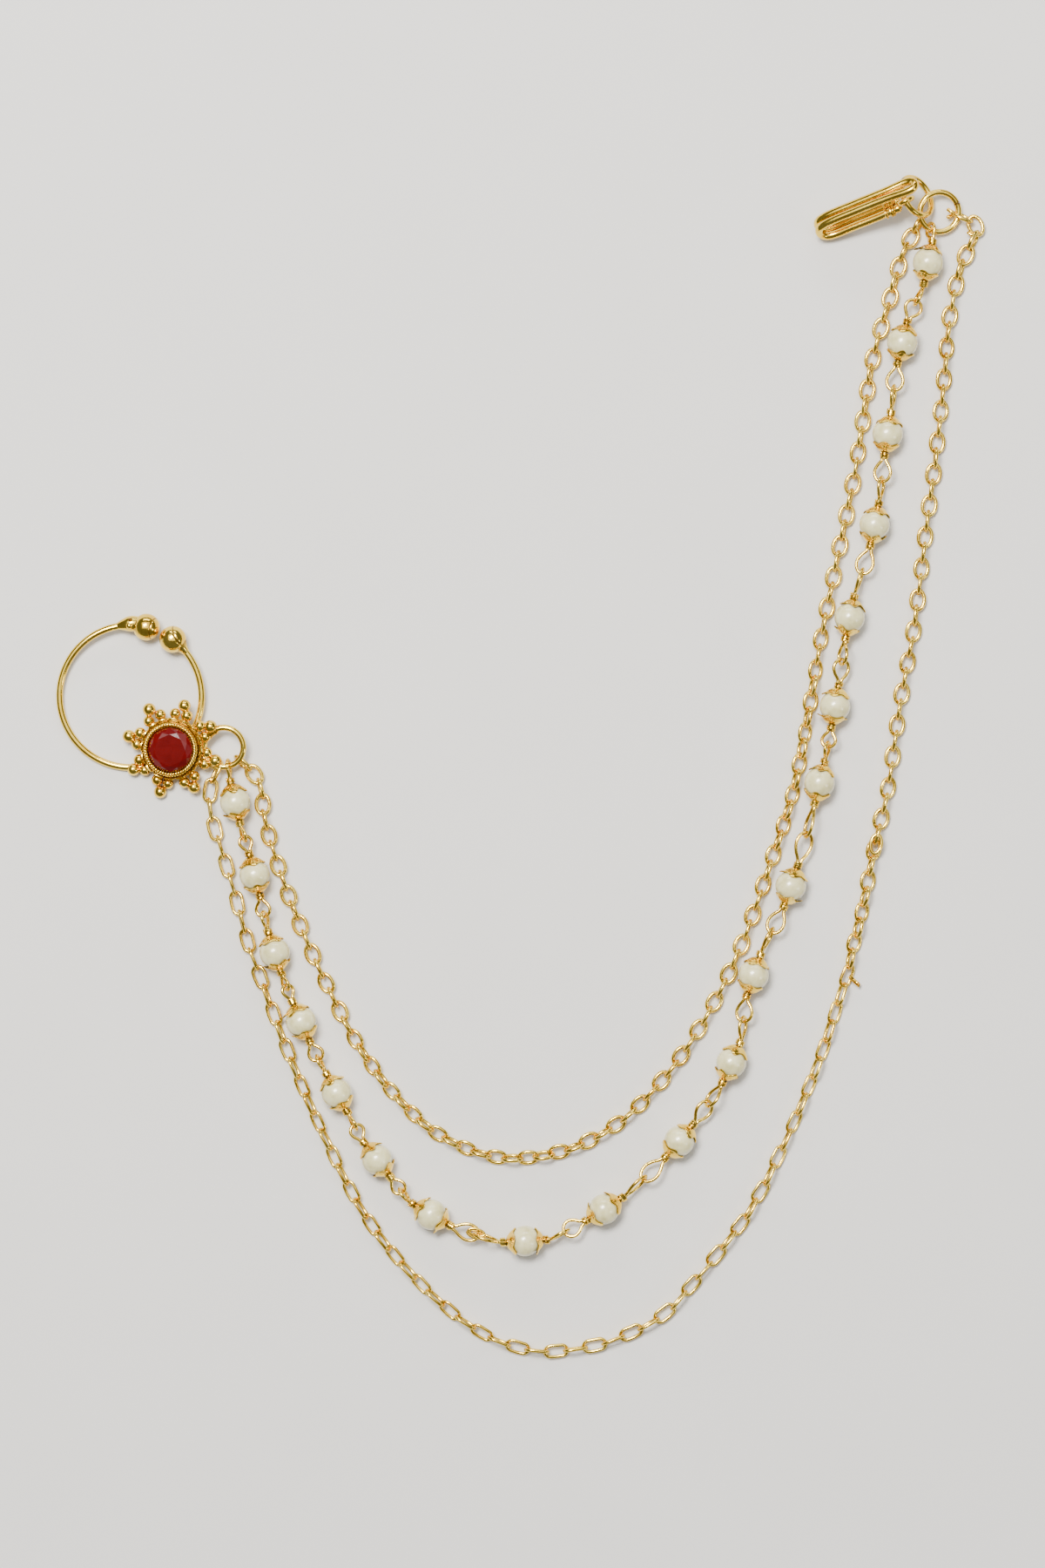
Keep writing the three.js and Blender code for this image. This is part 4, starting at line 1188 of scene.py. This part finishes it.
def cap_shape(centre, axis, spin):
    """A cap pressed from thin sheet: it hugs the pearl, and its wavy edge turns up here and there."""
    around = 60
    rows = 11
    angles = np.arange(around) / around * 2 * math.pi
    lobe = (0.5 + 0.5 * np.cos(CAP_PETALS * angles)) ** rng.uniform(0.6, 1.5)
    petal = np.round(CAP_PETALS * angles / (2 * math.pi)).astype(int) % CAP_PETALS
    reach = rng.uniform(0.7, 1.1, CAP_PETALS)[petal]
    lift = (rng.uniform(0.0, 1.0, CAP_PETALS) ** 3 * PETAL_LIFT)[petal]
    valley = rng.uniform(*PETAL_VALLEY)
    rims = np.radians(valley - (valley - PETAL_TIP) * lobe * reach)
    crown = math.radians(CAP_CROWN)
    outer = []
    inner = []
    for row in range(rows):
        share = row / (rows - 1)
        latitude = crown + (rims - crown) * share
        rise = 0.3 * (1 - share) ** 1.5
        bead = CAP_BEAD * math.exp(-((share - 0.9) / 0.09) ** 2)
        flare = lift * lobe * max(0.0, share - 0.6) ** 2 * 6.25
        radius = pearl_radius + 0.03 + rise + flare
        for thickness, layer in ((CAP_SHEET + bead, outer), (0.0, inner)):
            reach_out = radius + thickness
            layer.append(np.stack([
                reach_out * np.cos(latitude) * np.cos(angles),
                reach_out * np.cos(latitude) * np.sin(angles),
                reach_out * np.sin(latitude),
            ], axis=1))
    # Painted shade: dark on the inner side facing the pearl and at the crown by the wrap, a little near the
    # rim.
    shades = [0.0] * rows + [0.8] * rows
    shades[0] = 0.7
    shades[1] = 0.25
    shades[rows - 3] = 0.12
    faces = grid_faces(2 * rows, around, rows_close=True)
    shape = Shape(np.vstack(outer + inner[::-1]), faces, np.repeat(shades, around))
    return shape.placed(standing(centre, axis) @ Matrix.Rotation(math.radians(spin), 4, "Z"))


def wrap_shape(centre, axis):
    """Turns of wire round the pin, with a short cut end."""
    turns = float(rng.choice([2, 2.5, 3]))
    line = [centre + axis * (wrap_start + 0.1), centre + axis * (wrap_end - 0.05)]
    radius = WRAP_DIAMETER / 2 - WRAP_WIRE / 2
    # The wound wire is painted a little darker, as the shade between its turns.
    wound = coil(line, radius, WRAP_WIRE, turns, float(rng.uniform(0, 360)), darkened=0.12)
    core_line = [centre + axis * (pearl_radius - 0.1), centre + axis * wrap_end]
    # The pin's core under the wraps is painted dark, as the shade beneath them.
    core = wire(core_line, PIN_WIRE * 1.5, 8, darkened=0.6)
    return wound + core


def pearl_shape(centre, axis):
    """A drilled pearl, a little out of round."""
    bore = 0.45
    low = math.degrees(math.acos(bore / pearl_radius))
    profile = [on_globe(pearl_radius, latitude) for latitude in np.linspace(-low, low, 23)]
    bead = turned(profile, 40, closed=True)
    stretch = Matrix.Diagonal((*rng.uniform(0.975, 1.0, 2), rng.uniform(0.97, 1.0), 1.0))
    return bead.placed(standing(centre, axis) @ stretch)


def make_pearls():
    seats = pearl_seats()
    back_loops = [ring_hold(seats[0][2], SIDE_RING, NOSE_PEARL_HOLD)]
    front_loops = []
    for turn, before, after in zip(LOOP_TURNS, seats, seats[1:]):
        span = after[2] - before[3]
        middle = before[3] + span / 2
        step = span.normalized() * (link_depth / 2)
        front_loops.append((middle + step, turned_normal(span, turn)))
        back_loops.append((middle - step, turned_normal(span, turn + 90)))
    front_loops.append(ring_hold(seats[-1][3], JUMP_RING, HAIR_PEARL_HOLD))
    for i, (centre, axis, back, front) in enumerate(seats):
        number = f"{i + 1:02d}"
        bead = mesh_of(f"strand_pearl_{number}", pearl_shape(centre, axis))
        piece(f"strand_pearl_{number}", bead, PEARL, "pearl", f"pearl_{number}")
        shape = loop_shape(back, -axis, *back_loops[i]) + loop_shape(front, axis, *front_loops[i])
        for way in (-axis, axis):
            shape += cap_shape(centre, way, rng.uniform(0, 360 / CAP_PETALS)) + wrap_shape(centre, way)
        gold_piece(f"capped_pin_{number}", shape, f"pearl_link_{number}")


# Chains


def chain_line(route):
    return [Vector((x, y, CHAIN_REST)) + Vector((SHIFT.x, SHIFT.y, 0)) for x, y in route]


def held_end(next_place, held, degrees, link):
    """Centre of the link that holds a ring, on the line from the next place."""
    hold = held.spot(degrees)
    hold.z = CHAIN_REST
    away = (next_place - hold).normalized()
    return hold + away * (link.length / 2 - link.wire - held.wire / 2)


def make_chain(kind, name, node, line, link, rolls, seed, first_on_edge, last_on_edge=None):
    """Real links along a line. Returns whether the last link stands on edge."""
    points = smooth(line, CHAIN_STEPS)
    count = round(length_of(points) / (link.length - 2 * link.wire)) + 1
    if last_on_edge is not None and (count % 2 == 1) != (first_on_edge == last_on_edge):
        count += 1
    roll = np.interp(np.linspace(0, 1, CHAIN_STEPS + 1), *np.array(rolls).T)
    edges = [(i, i + 1) for i in range(CHAIN_STEPS)]
    mesh = arranged(kind, {
        "Links": count,
        "Link length": link.length * MM,
        "Link width": link.width * MM,
        "Wire": link.wire * MM,
        "Straightness": link.straightness,
        "First on edge": float(first_on_edge),
        "Seed": seed,
    }, points * MM, edges, np.radians(roll))
    piece(name, mesh, GOLD, "gold", node)
    return (first_on_edge + count - 1) % 2 == 1


def make_chains():
    kind = chain_kind()
    inner = chain_line(INNER_ROUTE)
    inner.insert(0, held_end(inner[0], SIDE_RING, NOSE_INNER_HOLD, ROUND_LINK))
    inner.append(held_end(inner[-1], JUMP_RING, HAIR_INNER_HOLD, ROUND_LINK))
    make_chain(kind, "inner_links", "inner_chain", inner, ROUND_LINK, INNER_ROLLS, 3, True, True)
    long = chain_line(OUTER_LONG_ROUTE)
    long.insert(0, held_end(long[0], SIDE_RING, NOSE_OUTER_HOLD, LONG_LINK))
    names = ("outer_long_links", "outer_chain_long")
    on_edge = make_chain(kind, *names, long, LONG_LINK, OUTER_LONG_ROLLS, 4, True)
    short = chain_line(OUTER_ROUND_ROUTE)
    towards = (short[1] - short[0]).normalized()
    reach = LONG_LINK.length / 2 + ROUND_LINK.length / 2 - ROUND_LINK.wire - LONG_LINK.wire
    short[0] += towards * reach
    short.append(held_end(short[-1], JUMP_RING, HAIR_OUTER_HOLD, ROUND_LINK))
    names = ("outer_round_links", "outer_chain_round")
    make_chain(kind, *names, short, ROUND_LINK, OUTER_ROUND_ROLLS, 5, not on_edge, True)


# Loose wires


def flat_place(x, y, height):
    """A place chosen in the photograph, at a height."""
    return Vector((x + SHIFT.x, y + SHIFT.y, height))


def twisted_tail(line):
    """Two fine wires twisted together and cut off."""
    return together(coil(line, TAIL_WIRE / 2, TAIL_WIRE, 2.5, start) for start in (0, 180))


def flat_link(place, along, size, diameter):
    """A link laid flat over others."""
    points = []
    for turn in np.linspace(0, 2 * math.pi, 18, endpoint=False):
        ahead = bearing(along, (size[0] - diameter) / 2 * math.cos(turn))
        aside = bearing(along + 90, (size[1] - diameter) / 2 * math.sin(turn))
        points.append(flat_place(*place) + ahead + aside)
    return wire(points, diameter, 8, closed=True)


def open_link_ends():
    """The two cut ends of the link through the jump ring, spread apart inside it."""
    hold = JUMP_RING.spot(HAIR_OUTER_HOLD)
    inward = (middle_of("hair_jump_ring") - hold).normalized()
    aside = JUMP_RING.tangent(HAIR_OUTER_HOLD)
    root = hold + inward * (JUMP_RING_WIRE / 2 + 0.1)
    ends = []
    for way, length in ((1, 1.0), (-1, 0.85)):
        lift = UP * (0.3 * way)
        knee = root + inward * 0.4 + aside * (0.2 * way) + lift
        tip = root + inward * length + aside * (0.5 * way)
        ends.append(wire(smooth([root + lift, knee, tip], 8), ROUND_LINK.wire, 8))
    return together(ends)


def make_loose_wires():
    """Marks of handwork on the strands: cut ends, a doubled link and a bound joint."""
    shape = twisted_tail([flat_place(*place) for place in SPLICE_TAIL]) + flat_link(*DOUBLED_LINK)
    shape += wire(smooth([flat_place(*place) for place in CUT_END], 6), CUT_END_WIRE, 8)
    shape += flat_link(*LOWER_BINDING) + flat_link(*UPPER_BINDING) + open_link_ends()
    gold_piece("loose_wires", shape)


# Surroundings


def make_camera():
    """Straight above, with the photograph's frame at the level of the strands."""
    data = bpy.data.cameras.new("camera")
    data.sensor_fit = "VERTICAL"
    data.sensor_height = 36.0
    distance = CAMERA_HEIGHT - FOCUS_LEVEL
    data.lens = data.sensor_height * distance / (PHOTO_HEIGHT * PHOTO_SCALE)
    data.clip_start = 0.01
    camera = in_scene("camera", data)
    x = (PHOTO_WIDTH / 2 - PLACE_ORIGIN[0]) * PHOTO_SCALE + SHIFT.x
    y = (PLACE_ORIGIN[1] - PHOTO_HEIGHT / 2) * PHOTO_SCALE + SHIFT.y
    camera.location = Vector((x, y, CAMERA_HEIGHT)) * MM
    bpy.context.scene.camera = camera


def soft_light(name, place, size, power, color):
    data = bpy.data.lights.new(name, "AREA")
    data.shape = "RECTANGLE"
    data.size, data.size_y = size
    data.energy = power
    data.color = color
    lamp = in_scene(name, data)
    lamp.location = place
    lamp.rotation_euler = (-Vector(place)).to_track_quat("-Z", "Y").to_euler()


def make_surroundings():
    corners = [(BOARD_HALF * x, BOARD_HALF * y, 0) for x, y in ((-1, -1), (1, -1), (1, 1), (-1, 1))]
    board = bpy.data.meshes.new("board")
    board.from_pydata(corners, [], [(0, 1, 2, 3)])
    board.materials.append(pale_board())
    in_scene("board", board)
    for light in LIGHTS:
        soft_light(*light)
    world = bpy.data.worlds.new("studio")
    world.use_nodes = True
    backdrop = world.node_tree.nodes["Background"]
    backdrop.inputs["Color"].default_value = (0.80, 0.82, 0.86, 1.0)
    backdrop.inputs["Strength"].default_value = 0.2
    bpy.context.scene.world = world


make_camera()
make_surroundings()
make_nose_ring()
make_rings()
make_hook()
make_pearls()
make_chains()
make_loose_wires()
